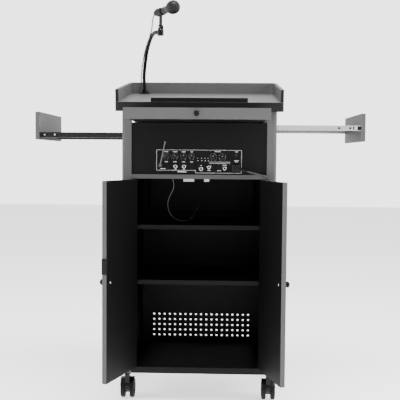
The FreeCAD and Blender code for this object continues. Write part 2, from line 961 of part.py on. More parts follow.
def tray(side, word, height):
    """A side tray: its end panel, its board and the slides' moving members."""
    inner_x = half_width + S.tray_out
    corner = -inner_x - S.tray_thick if side < 0 else inner_x
    panel = body(f"tray_panel_{word}")
    drawn = sketch(panel, "YZ")
    outline(drawn, rectangle(S.tray_length, S.tray_high))
    base = pad(panel, drawn, S.tray_thick, "YZ")
    outer = 0 if side < 0 else S.tray_thick

    def outer_edge(edge):
        return all(abs(v.Point.x - sized(outer).value) < 0.01 for v in edge.Vertexes)

    softened(panel, base, outer_edge, 2)
    keep(place(panel, (corner, tray_front, S.tray_bottom)))

    near_back = front + S.amp_panel_setback + S.amp_panel_thick + 0.5
    far_back = tray_front + S.tray_length - 2
    lift = S.channel_sheet + 2
    rail_t = S.slide_rail_thick
    rails = []
    start = -inner_x if side < 0 else inner_x - S.slide_length
    for place_word, y in (("near", near_back + lift), ("far", far_back - lift - rail_t)):
        rails.append(
            box(
                f"tray_rail_{word}_{place_word}",
                (start, y, height - S.slide_rail_high / 2),
                S.slide_length,
                rail_t,
                S.slide_rail_high,
            )
        )
    keep(group(f"tray_rails_{word}", rails))

    y_low = near_back + lift + rail_t
    y_high = far_back - lift - rail_t
    board_x = -inner_x if side < 0 else inner_x - S.tray_board_width
    # The board clears the channels' lips, so it hangs between the moving members.
    lip = S.channel_thick - lift - rail_t + 0.5
    board = box(
        f"tray_board_{word}_sheet",
        (board_x, y_low + lip, height - S.tray_board_thick / 2),
        S.tray_board_width,
        y_high - y_low - lip * 2,
        S.tray_board_thick,
    )
    ears = []
    for index, (y, deep) in enumerate(((y_low, lip + 1), (y_high - lip - 1, lip + 1))):
        ears.append(
            box(
                f"tray_ear_{word}{index}",
                (board_x, y, height - S.tray_board_thick / 2),
                S.tray_board_width,
                deep,
                S.tray_board_thick,
            )
        )
    keep(joined(f"tray_board_{word}", [board] + ears))


# ---------------------------------------------------------------- amplifier


def amplifier():
    face_low = S.faceplate_bottom
    lap = S.faceplate_lap
    panel_y = front + S.amp_panel_setback
    half_face = S.faceplate_width / 2
    panel = box(
        "amp_panel_board",
        (-inner_half, panel_y, S.divider_top),
        inner_half * 2,
        S.amp_panel_thick,
        bay_panel_top - S.divider_top,
    )
    opening = box(
        "amp_panel_opening",
        (-half_face + lap, panel_y - 1, face_low + lap),
        S.faceplate_width - lap * 2,
        S.amp_panel_thick + 2,
        S.faceplate_high - lap * 2,
    )
    keep(cut("amp_panel", panel, [opening]))

    face = body("amp_faceplate")
    drawn = sketch(face, "XZ")
    outline(drawn, rectangle(S.faceplate_width, S.faceplate_high))
    base = pad(face, drawn, S.faceplate_thick, "XZ")

    def corner_edge(edge):
        ends = [v.Point for v in edge.Vertexes]
        return len(ends) == 2 and abs(ends[0].y - ends[1].y) > 1

    softened(face, base, corner_edge, 3)
    doc.recompute()
    holes = sketch(face, "XZ")
    for x in LEVEL_KNOBS:
        ring(holes, half_face + x, LEVEL_HEIGHT, SHAFT_RADIUS + S.running_gap)
    for x in TONE_DIALS:
        ring(holes, half_face + x, TONE_HEIGHT, SHAFT_RADIUS + S.running_gap)
    x, z = ROCKER_PLACE
    wide, tall = ROCKER_HALF_WIDTH + 0.4, ROCKER_HALF_HEIGHT + 1
    low_x, high_x = half_face + x - wide, half_face + x + wide
    outline(
        holes,
        [(low_x, z - tall), (high_x, z - tall), (high_x, z + tall), (low_x, z + tall)],
    )
    pocket_through(face, holes)
    place(face, (-half_face, panel_y - S.faceplate_thick, face_low))
    drilled = cut(
        "amp_drilled_faceplate",
        face,
        [
            rod(
                "rocker_pin_hole",
                (x - ROCKER_PIN_REACH - 0.5, panel_y - S.faceplate_thick / 2, face_low + z),
                ROCKER_PIN_RADIUS + 0.05,
                (ROCKER_PIN_REACH + 0.5) * 2,
                "x",
            )
        ],
    )
    chassis = box(
        "amp_chassis",
        (-half_face + lap + 1, panel_y, face_low + lap + 1),
        S.faceplate_width - lap * 2 - 2,
        S.chassis_depth,
        S.faceplate_high - lap * 2 - 2,
    )
    keep(group("amp_unit", [drilled, chassis]))
    controls(panel_y - S.faceplate_thick)


LEVEL_KNOBS = (-127, -93, -60, -28)
LEVEL_HEIGHT = 65
TONE_DIALS = (55, 90)
TONE_HEIGHT = 63
ROCKER_PLACE = (144, 67)
INLET_PLACE = (143, 21)
ANTENNA_PLACE = (-150, 30)
JACK_PLACES = ((-91, 26), (-58, 26), (8, 17), (39, 24), (100, 20))


SHAFT_RADIUS = 3
ROCKER_HALF_WIDTH = 6
ROCKER_HALF_HEIGHT = 11
ROCKER_PIN_RADIUS = 0.5
ROCKER_PIN_REACH = 7.4
ANTENNA_STAND_OFF = 13
ANTENNA_PIN = 2


def small_knob(name, radius, reach):
    """A control knob with a flange, its axis along -Y, and its shaft behind it."""
    owner = body(name)
    drawn = sketch(owner, "XY")
    outline(
        drawn,
        [
            (0, 2.4),
            (SHAFT_RADIUS, 2.4),
            (SHAFT_RADIUS, 0),
            (radius, 0),
            (radius, -reach * 0.25),
            (radius * 0.78, -reach * 0.35),
            (radius * 0.68, -reach),
            (0, -reach),
        ],
    )
    spun(owner, drawn)
    return owner


def controls(face_y):
    low = S.faceplate_bottom
    clear = 0.3
    for index, x in enumerate(LEVEL_KNOBS, start=1):
        thing = small_knob(f"level_knob_{index}", 8, 12)
        keep(place(thing, (x, face_y - clear, low + LEVEL_HEIGHT)))
    for index, x in enumerate(TONE_DIALS, start=1):
        thing = small_knob(f"tone_dial_{index}", 9.5, 10)
        keep(place(thing, (x, face_y - clear, low + TONE_HEIGHT)))

    x, z = ROCKER_PLACE
    tall = ROCKER_HALF_HEIGHT
    bar = plate(
        "rocker_bar",
        "YZ",
        [(0.8, -tall + 0.4), (-3, -tall), (-1.4, 0), (-4.6, tall), (0.8, tall - 0.4), (1.3, 0)],
        ROCKER_HALF_WIDTH * 2,
        (x - ROCKER_HALF_WIDTH, face_y, low + z),
    )
    pin = rod(
        "rocker_pin",
        (x - ROCKER_PIN_REACH, face_y + S.faceplate_thick / 2, low + z),
        ROCKER_PIN_RADIUS,
        ROCKER_PIN_REACH * 2,
        "x",
    )
    keep(joined("power_rocker", [bar, pin]))

    x, z = ANTENNA_PLACE
    pivot_y = face_y - ANTENNA_STAND_OFF
    stalk = body("antenna_stalk")
    drawn = sketch(stalk, "XZ")
    outline(
        drawn,
        [
            (0, -5.5),
            (5.5, -3),
            (5.5, 3),
            (2.6, 8),
            (2.4, 88),
            (3.2, 89),
            (3.2, 94),
            (0, 95),
        ],
    )
    spun(stalk, drawn)
    place(stalk, (x, pivot_y, low + z), 12, (0, 1, 0))
    eye = rod(
        "antenna_eye", (x, pivot_y - 8, low + z), ANTENNA_PIN + S.running_gap, 16, "y"
    )
    keep(cut("antenna", stalk, [eye]))

    pieces = []
    for index, (x, z) in enumerate(JACK_PLACES):
        outer = rod(f"jack_nut{index}", (x, face_y - 4, low + z), 7.5, 4, "y")
        bore = rod(f"jack_bore{index}", (x, face_y - 5, low + z), 3.4, 6, "y")
        pieces.append(cut(f"jack{index}", outer, [bore]))
    x, z = INLET_PLACE
    frame = box("inlet_frame", (x - 15, face_y - 2, low + z - 12), 30, 2, 24)
    hole = box("inlet_hole", (x - 12.5, face_y - 3, low + z - 8.5), 25, 4, 17)
    pieces.append(cut("inlet", frame, [hole]))
    x, z = ANTENNA_PLACE
    mount = box("antenna_block", (x - 7, face_y - 6, low + z - 7), 14, 6, 14)
    pin = rod("antenna_pin", (x, pivot_y - 7, low + z), ANTENNA_PIN, ANTENNA_STAND_OFF + 2, "y")
    pieces.append(joined("antenna_mount", [mount, pin]))
    keep(group("amp_sockets", pieces))


# ---------------------------------------------------------------- speakers


def speakers():
    low, tall = speaker_low, speaker_tall
    half = S.speaker_box_width / 2
    y = inner_back - S.speaker_box_depth
    skin = 8
    block = box("speaker_block", (-half, y, low), S.speaker_box_width, S.speaker_box_depth, tall)
    hollow = box(
        "speaker_hollow",
        (-half + skin, y + skin, low + skin),
        S.speaker_box_width - skin * 2,
        S.speaker_box_depth,
        tall - skin * 2,
    )
    pieces = [cut("speaker_cover", block, [hollow])]
    for index, side in enumerate((-1, 1)):
        owner = body(f"speaker_driver{index}")
        drawn = sketch(owner, "XY")
        r = S.speaker_radius
        outline(
            drawn,
            [
                (0, -9),
                (r * 0.3, -13),
                (r - 1, -1),
                (r, 0),
                (r + 5, 0),
                (r + 5, -3),
                (r, -4),
                (r * 0.45, -20),
                (r * 0.45, -34),
                (0, -34),
            ],
        )
        spun(owner, drawn)
        x = side * S.speaker_spacing / 2
        pieces.append(place(owner, (x, inner_back, low + tall / 2)))
    keep(group("speaker_box", pieces))

    grille = body("speaker_grille")
    drawn = sketch(grille, "XZ")
    outline(drawn, rectangle(S.grille_width, S.grille_high))
    base = pad(grille, drawn, S.grille_thick, "XZ")

    def outer_edge(edge):
        return all(abs(v.Point.y - S.grille_thick.value) < 0.01 for v in edge.Vertexes)

    softened(grille, base, outer_edge, 5)
    z = low + tall / 2 - S.grille_high / 2
    keep(place(grille, (-S.grille_width / 2, back, z)))


# ---------------------------------------------------------------- microphone

MIC_PIVOT = (-159, 92, 1480)
MIC_TURN = -59
MIC_LIFT = 60
MIC_BACK = -43
MIC_BALL = 108.5


def routed(points):
    """Route points given from the cabinet's front plane, in the part's own frame."""
    return [FreeCAD.Vector(x, y + front.value, z) for x, y, z in points]


def tube(name, points, radius):
    """A round tube of straight runs joined by the largest tangent arcs that fit."""
    edges = []
    start = points[0]
    radii = []
    for before, corner, after in zip(points, points[1:], points[2:]):
        way_in = corner - before
        way_out = after - corner
        short = min(way_in.Length, way_out.Length)
        way_in.normalize()
        way_out.normalize()
        half_turn = way_in.getAngle(way_out) / 2
        reach = 0.45 * short
        radii.append(reach / math.tan(half_turn))
        first = corner - way_in * reach
        last = corner + way_out * reach
        inward = way_out - way_in
        inward.normalize()
        depth = reach * math.tan(half_turn / 2)
        edges.append(Part.LineSegment(start, first).toShape())
        edges.append(Part.Arc(first, corner + inward * depth, last).toShape())
        start = last
    edges.append(Part.LineSegment(start, points[-1]).toShape())
    path = Part.Wire(edges)
    heading = points[1] - points[0]
    ring_ = Part.Wire([Part.Circle(points[0], heading, radius.value).toShape()])
    thing = doc.addObject("Part::Feature", name)
    thing.Shape = path.makePipeShell([ring_], True, False)
    expected = math.pi * radius.value**2 * path.Length
    print(
        f"{name}: length {path.Length:.0f}, radii {min(radii):.0f} to {max(radii):.0f},"
        f" volume {thing.Shape.Volume / expected:.3f} of its section times its length"
    )
    return thing


def local(at):
    """A place in the microphone's frame: along it, across it and above its pivot."""
    along, across, up = at
    turn = math.radians(MIC_TURN)
    x = along * math.cos(turn) - across * math.sin(turn)
    y = along * math.sin(turn) + across * math.cos(turn)
    return MIC_PIVOT[0] + x, MIC_PIVOT[1] + y + front, MIC_PIVOT[2] + up


def on_mic(thing, at):
    return place(thing, local(at), MIC_TURN)


def microphone():
    base = body("neck_flange")
    drawn = sketch(base, "XZ")
    r = S.flange_radius
    outline(drawn, [(0, 0), (r, 0), (r, 3), (r * 0.55, 7), (r * 0.5, 16), (0, 16)])
    spun(base, drawn)
    x, y = NECK_FOOT
    along = (y + S.desk_overhang + S.desk_thick * sine(S.desk_tilt)) / cosine(S.desk_tilt)
    place(base, on_desk(x, along, S.desk_thick), S.desk_tilt, (1, 0, 0))
    neck = tube("neck_tube", routed(NECK_ROUTE), S.neck_radius)
    ferrule = rod("neck_ferrule", local((0, 0, -34)), 12.5, 22)
    ears = []
    for index, side in enumerate((-1, 1)):
        low = 4.3 if side > 0 else -8.3
        ear = plate(
            f"clip_ear{index}",
            "XZ",
            [(-7, -14), (7, -14), (8, 0), (5, 7), (-5, 7), (-8, 0)],
            4,
            (0, 0, 0),
        )
        ears.append(on_mic(ear, (0, low, 0)))
    pin = doc.addObject("Part::Cylinder", "clip_pin")
    bind(pin, Radius=2.5, Height=17)
    pin.Placement = FreeCAD.Placement(
        FreeCAD.Vector(*[sized(v).value for v in local((0, -8.5, 0))]),
        FreeCAD.Rotation(FreeCAD.Vector(0, 0, 1), MIC_TURN)
        * FreeCAD.Rotation(FreeCAD.Vector(1, 0, 0), -90),
    )
    pin.setExpression("Placement.Base.y", local((0, -8.5, 0))[1].text)
    keep(joined("gooseneck", [base, neck, ferrule] + ears + [pin]))

    tongue = plate(
        "clip_tongue",
        "XZ",
        [(-6, -6), (0, -8), (6, -6), (7, 0), (6, 44), (-6, 44), (-7, 0)],
        8,
        (0, 0, 0),
    )
    on_mic(tongue, (0, -4, 0))
    eye = doc.addObject("Part::Cylinder", "clip_eye")
    bind(eye, Radius=2.5 + S.running_gap, Height=20)
    eye.Placement = FreeCAD.Placement(
        FreeCAD.Vector(*[sized(v).value for v in local((0, -10, 0))]), pin.Placement.Rotation
    )
    eye.setExpression("Placement.Base.y", local((0, -10, 0))[1].text)
    cradle = body("clip_cradle")
    drawn = sketch(cradle, "YZ")
    inner, outer = 14, 17.2
    outline(drawn, clip_section(inner, outer))
    pad(cradle, drawn, 42, "YZ")
    on_mic(cradle, (-20, 0, MIC_LIFT))
    keep(cut("mic_clip", joined("clip_solid", [tongue, cradle]), [eye]))

    mic = body("microphone")
    drawn = sketch(mic, "XZ")
    ball = S.mic_ball_radius
    b = MIC_BALL
    outline(
        drawn,
        [
            (MIC_BACK, 0),
            (MIC_BACK, 11),
            (-22, 12),
            (-20, 13.6),
            (22, 13.6),
            (60, 14.6),
            (b - ball, 18),
            (b - ball * 0.8, ball * 0.76),
            (b - ball * 0.5, ball * 0.95),
            (b - 2, ball),
            (b + 2, ball),
            (b + ball * 0.42, ball * 0.92),
            (b + ball * 0.72, ball * 0.7),
            (b + ball * 0.93, ball * 0.37),
            (b + ball, 0),
        ],
    )
    spun(mic, drawn, "H_Axis")
    keep(on_mic(mic, (0, 0, MIC_LIFT)))


def clip_section(inner, outer):
    """The open ring of the clip, as a polygon about the microphone's axis."""
    steps = 14
    opening = math.radians(50)
    angles = [
        math.pi / 2 + opening + (2 * math.pi - 2 * opening) * i / steps
        for i in range(steps + 1)
    ]
    ring_in = [(inner * math.cos(a), inner * math.sin(a)) for a in angles]
    ring_out = [(outer * math.cos(a), outer * math.sin(a)) for a in reversed(angles)]
    return ring_in + ring_out


# ---------------------------------------------------------------- cords


def power_cord():
    """The amplifier's mains cord: connector, run, clips, coil on the floor and plug."""
    face_y = front + S.amp_panel_setback - S.faceplate_thick
    x, z = INLET_PLACE
    z = S.faceplate_bottom + z
    shell = plate(
        "connector_shell",
        "XZ",
        [(-13, -9), (13, -9), (13, 6), (9, 10), (-9, 10), (-13, 6)],
        19,
        (x, face_y - 21.2, z),
    )
    nose = box("connector_nose", (x - 11.5, face_y - 2.4, z - 7.5), 23, 2, 15)
    relief = doc.addObject("Part::Cone", "connector_relief")
    bind(relief, Radius1=S.cord_radius + 3, Radius2=S.cord_radius + 0.8, Height=34)
    place(relief, (x + 12, front - 12, z - 3.5), 105, (0, 1, 0))
    keep(joined("cord_connector", [shell, nose, relief]))

    run = tube("power_cord", routed(POWER_CORD_ROUTE), S.cord_radius)
    keep(run)

    pieces = []
    route = routed(POWER_CORD_ROUTE)
    for index, (first, last) in enumerate(CORD_CLIP_RUNS):
        pieces.append(cord_clip(f"cord_clip{index}", route[first], route[last]))
    keep(group("cord_clips", pieces))
    cord_coil()


def cord_clip(name, first, last):
    """A block on the side's outer face, bored for the cord's run between two points."""
    middle = (first + last) * 0.5
    heading = last - first
    turn = math.degrees(math.atan2(heading.y, -heading.z))
    deep = 10
    block = box(f"{name}_block", (0, 0, 0), deep, 15, 13)
    bore = rod(f"{name}_bore", (0, 0, 0), S.cord_radius + 0.1, 40)
    lean = math.radians(turn)
    for thing, y, z in ((block, -7.5, -6.5), (bore, 0, -20)):
        at_y = middle.y + y * math.cos(lean) - z * math.sin(lean)
        at_z = middle.z + y * math.sin(lean) + z * math.cos(lean)
        x = half_width if thing is block else middle.x
        place(thing, (x, at_y, at_z), turn, (1, 0, 0))
    return cut(name, block, [bore])


def cord_coil():
    """The put-away length as one ring, with the stubs that lead in and out of it."""
    ring_ = body("coil_ring")
    drawn = sketch(ring_, "XZ")
    mid, r = S.coil_radius, S.cord_radius
    outline(
        drawn,
        [
            (mid - r * 2, r * 0.6),
            (mid - r * 1.5, 0.3),
            (mid + r * 1.5, 0.3),
            (mid + r * 2, r * 0.6),
            (mid + r * 2, r * 1.5),
            (mid + r, r * 3.7),
            (mid - r, r * 3.7),
            (mid - r * 2, r * 1.5),
        ],
    )
    spun(ring_, drawn)
    x, y = COIL_MIDDLE
    place(ring_, (x, y + front, 0))
    last = routed(POWER_CORD_ROUTE)[-1]
    stub = last.x - x
    lead_in = rod("coil_lead_in", (x, last.y, last.z), r, stub, "x")
    top = 10
    lead_out = rod("coil_lead_out", (x, y + front - mid, top), r, stub, "x")
    keep(joined("power_cord_coil", [ring_, lead_in, lead_out]))

    plug_x = x + stub
    relief = doc.addObject("Part::Cone", "plug_relief")
    bind(relief, Radius1=r + 0.8, Radius2=r + 3, Height=22)
    place(relief, (plug_x, y + front - mid, top), 90, (0, 1, 0))
    shell = plate(
        "plug_shell",
        "XY",
        [(0, -9), (8, -13), (26, -13), (29, -11), (29, 11), (26, 13), (8, 13), (0, 9)],
        18,
        (plug_x + 20, y + front - mid, top - 9),
    )
    blades = [
        box(f"plug_blade{i}", (plug_x + 48, y + front - mid + side * 6.35 - 0.75, top - 2), 17, 1.5, 6.4)
        for i, side in enumerate((-1, 1))
    ]
    earth = rod("plug_earth", (plug_x + 48, y + front - mid, top - 5), 2.4, 19, "x")
    keep(joined("power_plug", [relief, shell, earth] + blades))


# ---------------------------------------------------------------- casters


def caster(name, side, y):
    """One twin-wheel caster: a swivelling housing with its stem, and a pair of wheels."""
    x = side * (half_width - S.caster_inset)
    wide = S.caster_body_width
    r = S.wheel_radius
    trail = S.caster_trail
    housing = body(f"{name}_housing")
    drawn = sketch(housing, "YZ")
    top = S.cabinet_foot - 12
    outline(
        drawn,
        [
            (-16, top),
            (-16, top - 14),
            (-r * 0.35, r * 1.5),
            (trail - r * 0.75, r),
            (trail - 8, r * 0.55),
            (trail + 8, r * 0.55),
            (trail + 12, r),
            (trail + r * 0.45, r * 1.9),
            (20, top - 6),
            (20, top),
        ],
    )
    pad(housing, drawn, wide, "YZ")
    place(housing, (x - wide / 2, y, 0))
    # A hood covers the wheels' tops.
    across = wide + S.wheel_width * 2
    hood_left = x - wide / 2 - S.wheel_width
    hood = rod(f"{name}_hood", (hood_left, y + trail, r), r + 5, across, "x")
    hood_core = rod(f"{name}_hood_core", (hood_left - 1, y + trail, r), r + 2, across + 2, "x")
    lower = box(f"{name}_hood_below", (x - 60, y - 60, -20), 120, 140, r * 1.45 + 20)
    rear = box(f"{name}_hood_rear", (x - 60, y + trail + 14, 0), 120, 80, 140)
    shell = cut(f"{name}_hood_shell", hood, [hood_core, lower, rear])
    collar = rod(f"{name}_collar", (x, y, top), 15, 10)
    stem = rod(
        f"{name}_stem", (x, y, top + 9), S.stem_radius, S.cabinet_foot + S.stem_length - 1 - top - 9
    )
    axle = rod(
        f"{name}_axle", (x - wide / 2 - S.wheel_width + 3, y + trail, r), S.axle_radius,
        wide + S.wheel_width * 2 - 6, "x",
    )
    keep(joined(f"{name}_yoke", [housing, shell, collar, stem, axle]))

    pieces = []
    gap = 0.8
    for index, hand in enumerate((-1, 1)):
        wheel = body(f"{name}_wheel{index}")
        drawn = sketch(wheel, "XY")
        w = S.wheel_width - gap
        bore = S.axle_radius + S.running_gap
        outline(
            drawn,
            [
                (hand * 0, bore),
                (hand * 0, r - 3),
                (hand * 2.5, r),
                (hand * (w - 3), r),
                (hand * w, r - 4),
                (hand * w, r * 0.62),
                (hand * (w - 5), r * 0.5),
                (hand * (w - 5), bore),
            ],
        )
        spun(wheel, drawn, "H_Axis")
        place(wheel, (x + hand * (wide / 2 + gap), y + trail, r))
        pieces.append(wheel)
    keep(group(f"{name}_wheels", pieces))


CASTER_NAMES = (
    ("caster_front_left", -1, False),
    ("caster_front_right", 1, False),
    ("caster_rear_left", -1, True),
    ("caster_rear_right", 1, True),
)


def casters():
    for name, side, rear in CASTER_NAMES:
        y = back - S.caster_rear if rear else front + S.caster_front
        caster(name, side, y)


# ---------------------------------------------------------------- build

cabinet()
desk()
doors()
channels = drawer()
tray(-1, "left", S.left_slide_height)
tray(1, "right", S.right_slide_height)
channels += tray_slides(-1, "left", S.left_slide_height)
channels += tray_slides(1, "right", S.right_slide_height)
keep(group("slide_channels", channels))
amplifier()
speakers()
microphone()
keep(tube("mic_cable", routed(MIC_CABLE_ROUTE), S.mic_cable_radius))
keep(tube("bay_wire", routed(BAY_WIRE_ROUTE), S.wire_radius))
power_cord()
casters()

doc.recompute()

# ---------------------------------------------------------------- check and write

for thing in doc.Objects:
    if "Invalid" in thing.State or "Error" in thing.State:
        raise RuntimeError(f"{thing.Name} failed: {thing.State}")

os.makedirs("parts", exist_ok=True)
for thing in nodes:
    shape = thing.Shape
    if shape.isNull() or not shape.isValid() or not shape.Solids:
        raise RuntimeError(f"{thing.Label} has no valid solid")
    shape.exportStep(f"parts/{thing.Label}.step")
    print(f"{thing.Label}: {len(shape.Solids)} solid(s), {shape.Volume / 1000:.1f} cm3")
print(len(nodes), "sub-parts")
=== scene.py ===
"""Looks for the presentation lectern: its finishes, cords, fine hardware and studio."""

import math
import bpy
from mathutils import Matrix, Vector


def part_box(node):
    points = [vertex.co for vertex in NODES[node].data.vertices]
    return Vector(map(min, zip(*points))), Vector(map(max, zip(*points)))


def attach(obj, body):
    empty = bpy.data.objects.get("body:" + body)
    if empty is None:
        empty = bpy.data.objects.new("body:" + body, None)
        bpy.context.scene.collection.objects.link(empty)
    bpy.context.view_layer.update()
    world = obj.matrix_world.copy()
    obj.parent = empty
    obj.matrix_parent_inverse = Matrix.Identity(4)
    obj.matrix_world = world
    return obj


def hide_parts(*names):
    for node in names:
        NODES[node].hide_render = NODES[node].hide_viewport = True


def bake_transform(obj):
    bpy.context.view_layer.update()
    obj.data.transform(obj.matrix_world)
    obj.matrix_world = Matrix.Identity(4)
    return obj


bl_info = {
    "name": "Presentation Lectern",
    "version": (1, 0, 0),
    "blender": (4, 5, 0),
    "location": "3D View > Sidebar > Lectern",
    "description": "Finishes, cords and fine hardware of a wheeled presentation lectern",
    "category": "Object",
}

import bpy
import numpy as np
from mathutils import Matrix, Vector

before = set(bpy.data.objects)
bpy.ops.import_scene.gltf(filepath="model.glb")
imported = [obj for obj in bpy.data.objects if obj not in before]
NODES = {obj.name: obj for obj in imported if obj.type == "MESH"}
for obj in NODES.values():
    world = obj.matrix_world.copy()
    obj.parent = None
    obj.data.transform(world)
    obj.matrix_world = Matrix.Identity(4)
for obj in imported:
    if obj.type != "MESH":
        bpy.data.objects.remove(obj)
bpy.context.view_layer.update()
MM = 0.001


def corner(node, high, axis):
    """One coordinate of a CAD node's box: its low or high side along x, y or z."""
    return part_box(node)[1 if high else 0]["xyz".index(axis)]


# ---------------------------------------------------------------- places from the frame

CABINET_FRONT = corner("bottom_board", False, "y")
SIDE_INNER = corner("bottom_board", True, "x")
SIDE_OUTER = corner("side_panel_right", True, "x") / MM
TRAY_RAIL_TIP = corner("tray_rails_right", True, "x") / MM
DESK_TILT = math.radians(8.5)
# The start of the desk top's own tilted frame.
DESK_LOW = Vector((0, CABINET_FRONT - 0.022, 1.141))
FRONT_ORIGIN = np.array([0, CABINET_FRONT, 0])
FORWARD = (0, -1, 0)
# How far each door stands open.
DOOR_TURNS = {
    "left": math.radians(-109.0),
    "right": math.radians(105.5),
}


def front_place(x, y, z):
    """A point given in millimetres from the cabinet's front plane, in the row frame."""
    return Vector((x * MM, y * MM + CABINET_FRONT, z * MM))


def front_of(name):
    """How far a CAD node's front stands behind the cabinet's front plane, in millimetres."""
    return (corner(name, False, "y") - CABINET_FRONT) / MM


def in_metres(profile):
    """A profile given in millimetres."""
    return [(r * MM, h * MM) for r, h in profile]


# ---------------------------------------------------------------- sizes and colours


def linear(hex_colour):
    """An sRGB hex colour as linear RGBA."""
    value = hex_colour.lstrip("#")
    channels = [int(value[i : i + 2], 16) / 255 for i in (0, 2, 4)]
    turned = [c / 12.92 if c <= 0.04045 else ((c + 0.055) / 1.055) ** 2.4 for c in channels]
    return (*turned, 1.0)


class LecternColours(bpy.types.PropertyGroup):
    """Colours of the lectern's finishes."""

    charcoal: bpy.props.FloatVectorProperty(
        name="Charcoal laminate",
        description="Outside faces of the cabinet, doors and desk",
        subtype="COLOR",
        size=4,
        min=0,
        max=1,
        default=linear("#4f4f50"),
    )
    black_board: bpy.props.FloatVectorProperty(
        name="Black laminate",
        description="Inside faces, shelves and trays",
        subtype="COLOR",
        size=4,
        min=0,
        max=1,
        default=linear("#060606"),
    )
    edge_band: bpy.props.FloatVectorProperty(
        name="Edge band",
        description="Moulded edge round the desk top",
        subtype="COLOR",
        size=4,
        min=0,
        max=1,
        default=linear("#171718"),
    )
    zinc: bpy.props.FloatVectorProperty(
        name="Zinc plate",
        description="Slides and hinges",
        subtype="COLOR",
        size=4,
        min=0,
        max=1,
        default=linear("#c9cbcc"),
    )


class LecternSizes(bpy.types.PropertyGroup):
    """Sizes of the pieces that are added to the frame."""

    screw_head: bpy.props.FloatProperty(
        name="Screw head",
        description="Radius of a hinge screw's head",
        subtype="DISTANCE",
        unit="LENGTH",
        default=3.4 * MM,
        min=1 * MM,
        max=8 * MM,
    )
    print_line: bpy.props.FloatProperty(
        name="Printed line",
        description="Width of the lines printed on the amplifier's faceplate",
        subtype="DISTANCE",
        unit="LENGTH",
        default=1.1 * MM,
        min=0.2 * MM,
        max=4 * MM,
    )


def colours():
    """The scene's colour settings."""
    return bpy.context.scene.lectern_colours


def sizes():
    """The scene's size settings."""
    return bpy.context.scene.lectern_sizes


# ---------------------------------------------------------------- materials


def new_material(name):
    """An empty node material with its output and shader."""
    material = bpy.data.materials.new(name)
    material.use_nodes = True
    tree = material.node_tree
    tree.nodes.clear()
    output = tree.nodes.new("ShaderNodeOutputMaterial")
    shader = tree.nodes.new("ShaderNodeBsdfPrincipled")
    tree.links.new(shader.outputs["BSDF"], output.inputs["Surface"])
    return material, tree, shader


def set_socket(tree, socket, value):
    """Link a socket to another's output, or give it a value."""
    if isinstance(value, bpy.types.NodeSocket):
        tree.links.new(value, socket)
    else:
        socket.default_value = value


def node(tree, kind, inputs=None, **settings):
    """Add a node, set its attributes, and fill its inputs with values or links."""
    made = tree.nodes.new(kind)
    for field, value in settings.items():
        setattr(made, field, value)
    for socket, value in (inputs or {}).items():
        set_socket(tree, made.inputs[socket], value)
    return made


def fill(tree, shader, **inputs):
    """Set the shader's own sockets, by value or by link."""
    for name, value in inputs.items():
        set_socket(tree, shader.inputs[name.replace("_", " ")], value)


def grit(tree, coordinates, size_mm, detail=2.0):
    """Noise whose grains are about size_mm across."""
    return node(
        tree,
        "ShaderNodeTexNoise",
        {"Vector": coordinates, "Scale": 1 / (size_mm * MM), "Detail": detail},
    ).outputs["Fac"]


# Where a Mix node keeps its two colours and the blend of them.
MIX_LOW, MIX_HIGH, MIX_RESULT = 6, 7, 2


def shaded(tree, factor, low, high):
    """Blend two colours by a factor."""
    mix = node(tree, "ShaderNodeMix", {"Factor": factor}, data_type="RGBA")
    set_socket(tree, mix.inputs[MIX_LOW], low)
    set_socket(tree, mix.inputs[MIX_HIGH], high)
    return mix.outputs[MIX_RESULT]


def scaled(colour, by):
    """A colour made darker or lighter by a factor."""
    return tuple(c * by for c in colour[:3]) + (1.0,)


def eased(tree, radius_mm):
    """A normal that rounds the look of sharp edges by a radius."""
    return node(
        tree, "ShaderNodeBevel", {"Radius": radius_mm * MM}, samples=4
    ).outputs["Normal"]


# How much of the laminate's colour comes from the clouding.
CLOUD_SHARE = 0.45


def leather_grain(tree, colour, coordinates):
    """Colour and bump of pressed laminate: fine pebbles and a soft clouding.

    The real pebbles are about 0.4 mm, drawn at 2.2 mm so that they show.
    """
    fine = grit(tree, coordinates, 2.2, 3.0)
    cloud = grit(tree, coordinates, 60, 2.0)
    first = shaded(tree, fine, scaled(colour, 0.78), scaled(colour, 1.2))
    tint = shaded(tree, cloud, scaled(colour, 0.93), scaled(colour, 1.07))
    mixed = shaded(tree, CLOUD_SHARE, first, tint)
    bump = node(
        tree,
        "ShaderNodeBump",
        {"Height": fine, "Strength": 0.12, "Distance": 0.25 * MM, "Normal": eased(tree, 0.9)},
    )
    return mixed, bump.outputs["Normal"]


def object_space(tree, turn=(0, 0, 0), start=(0, 0, 0)):
    """Object coordinates, turned back and shifted to a piece's own frame."""
    source = node(tree, "ShaderNodeTexCoord").outputs["Object"]
    shift = node(
        tree,
        "ShaderNodeVectorMath",
        {0: source, 1: tuple(start)},
        operation="SUBTRACT",
    ).outputs["Vector"]
    if not any(turn):
        return shift
    return node(
        tree,
        "ShaderNodeVectorRotate",
        {"Vector": shift, "Rotation": tuple(-a for a in turn)},
        rotation_type="EULER_XYZ",
    ).outputs["Vector"]


def band(tree, value, low, high):
    """1 where low < value < high, else 0."""
    above = node(tree, "ShaderNodeMath", {0: value, 1: low}, operation="GREATER_THAN")
    below = node(tree, "ShaderNodeMath", {0: value, 1: high}, operation="LESS_THAN")
    return node(
        tree,
        "ShaderNodeMath",
        {0: above.outputs[0], 1: below.outputs[0]},
        operation="MULTIPLY",
    ).outputs[0]


# Specular level of the matte finishes, where 0.5 is the plain Fresnel reflection.
MATTE = 0.16


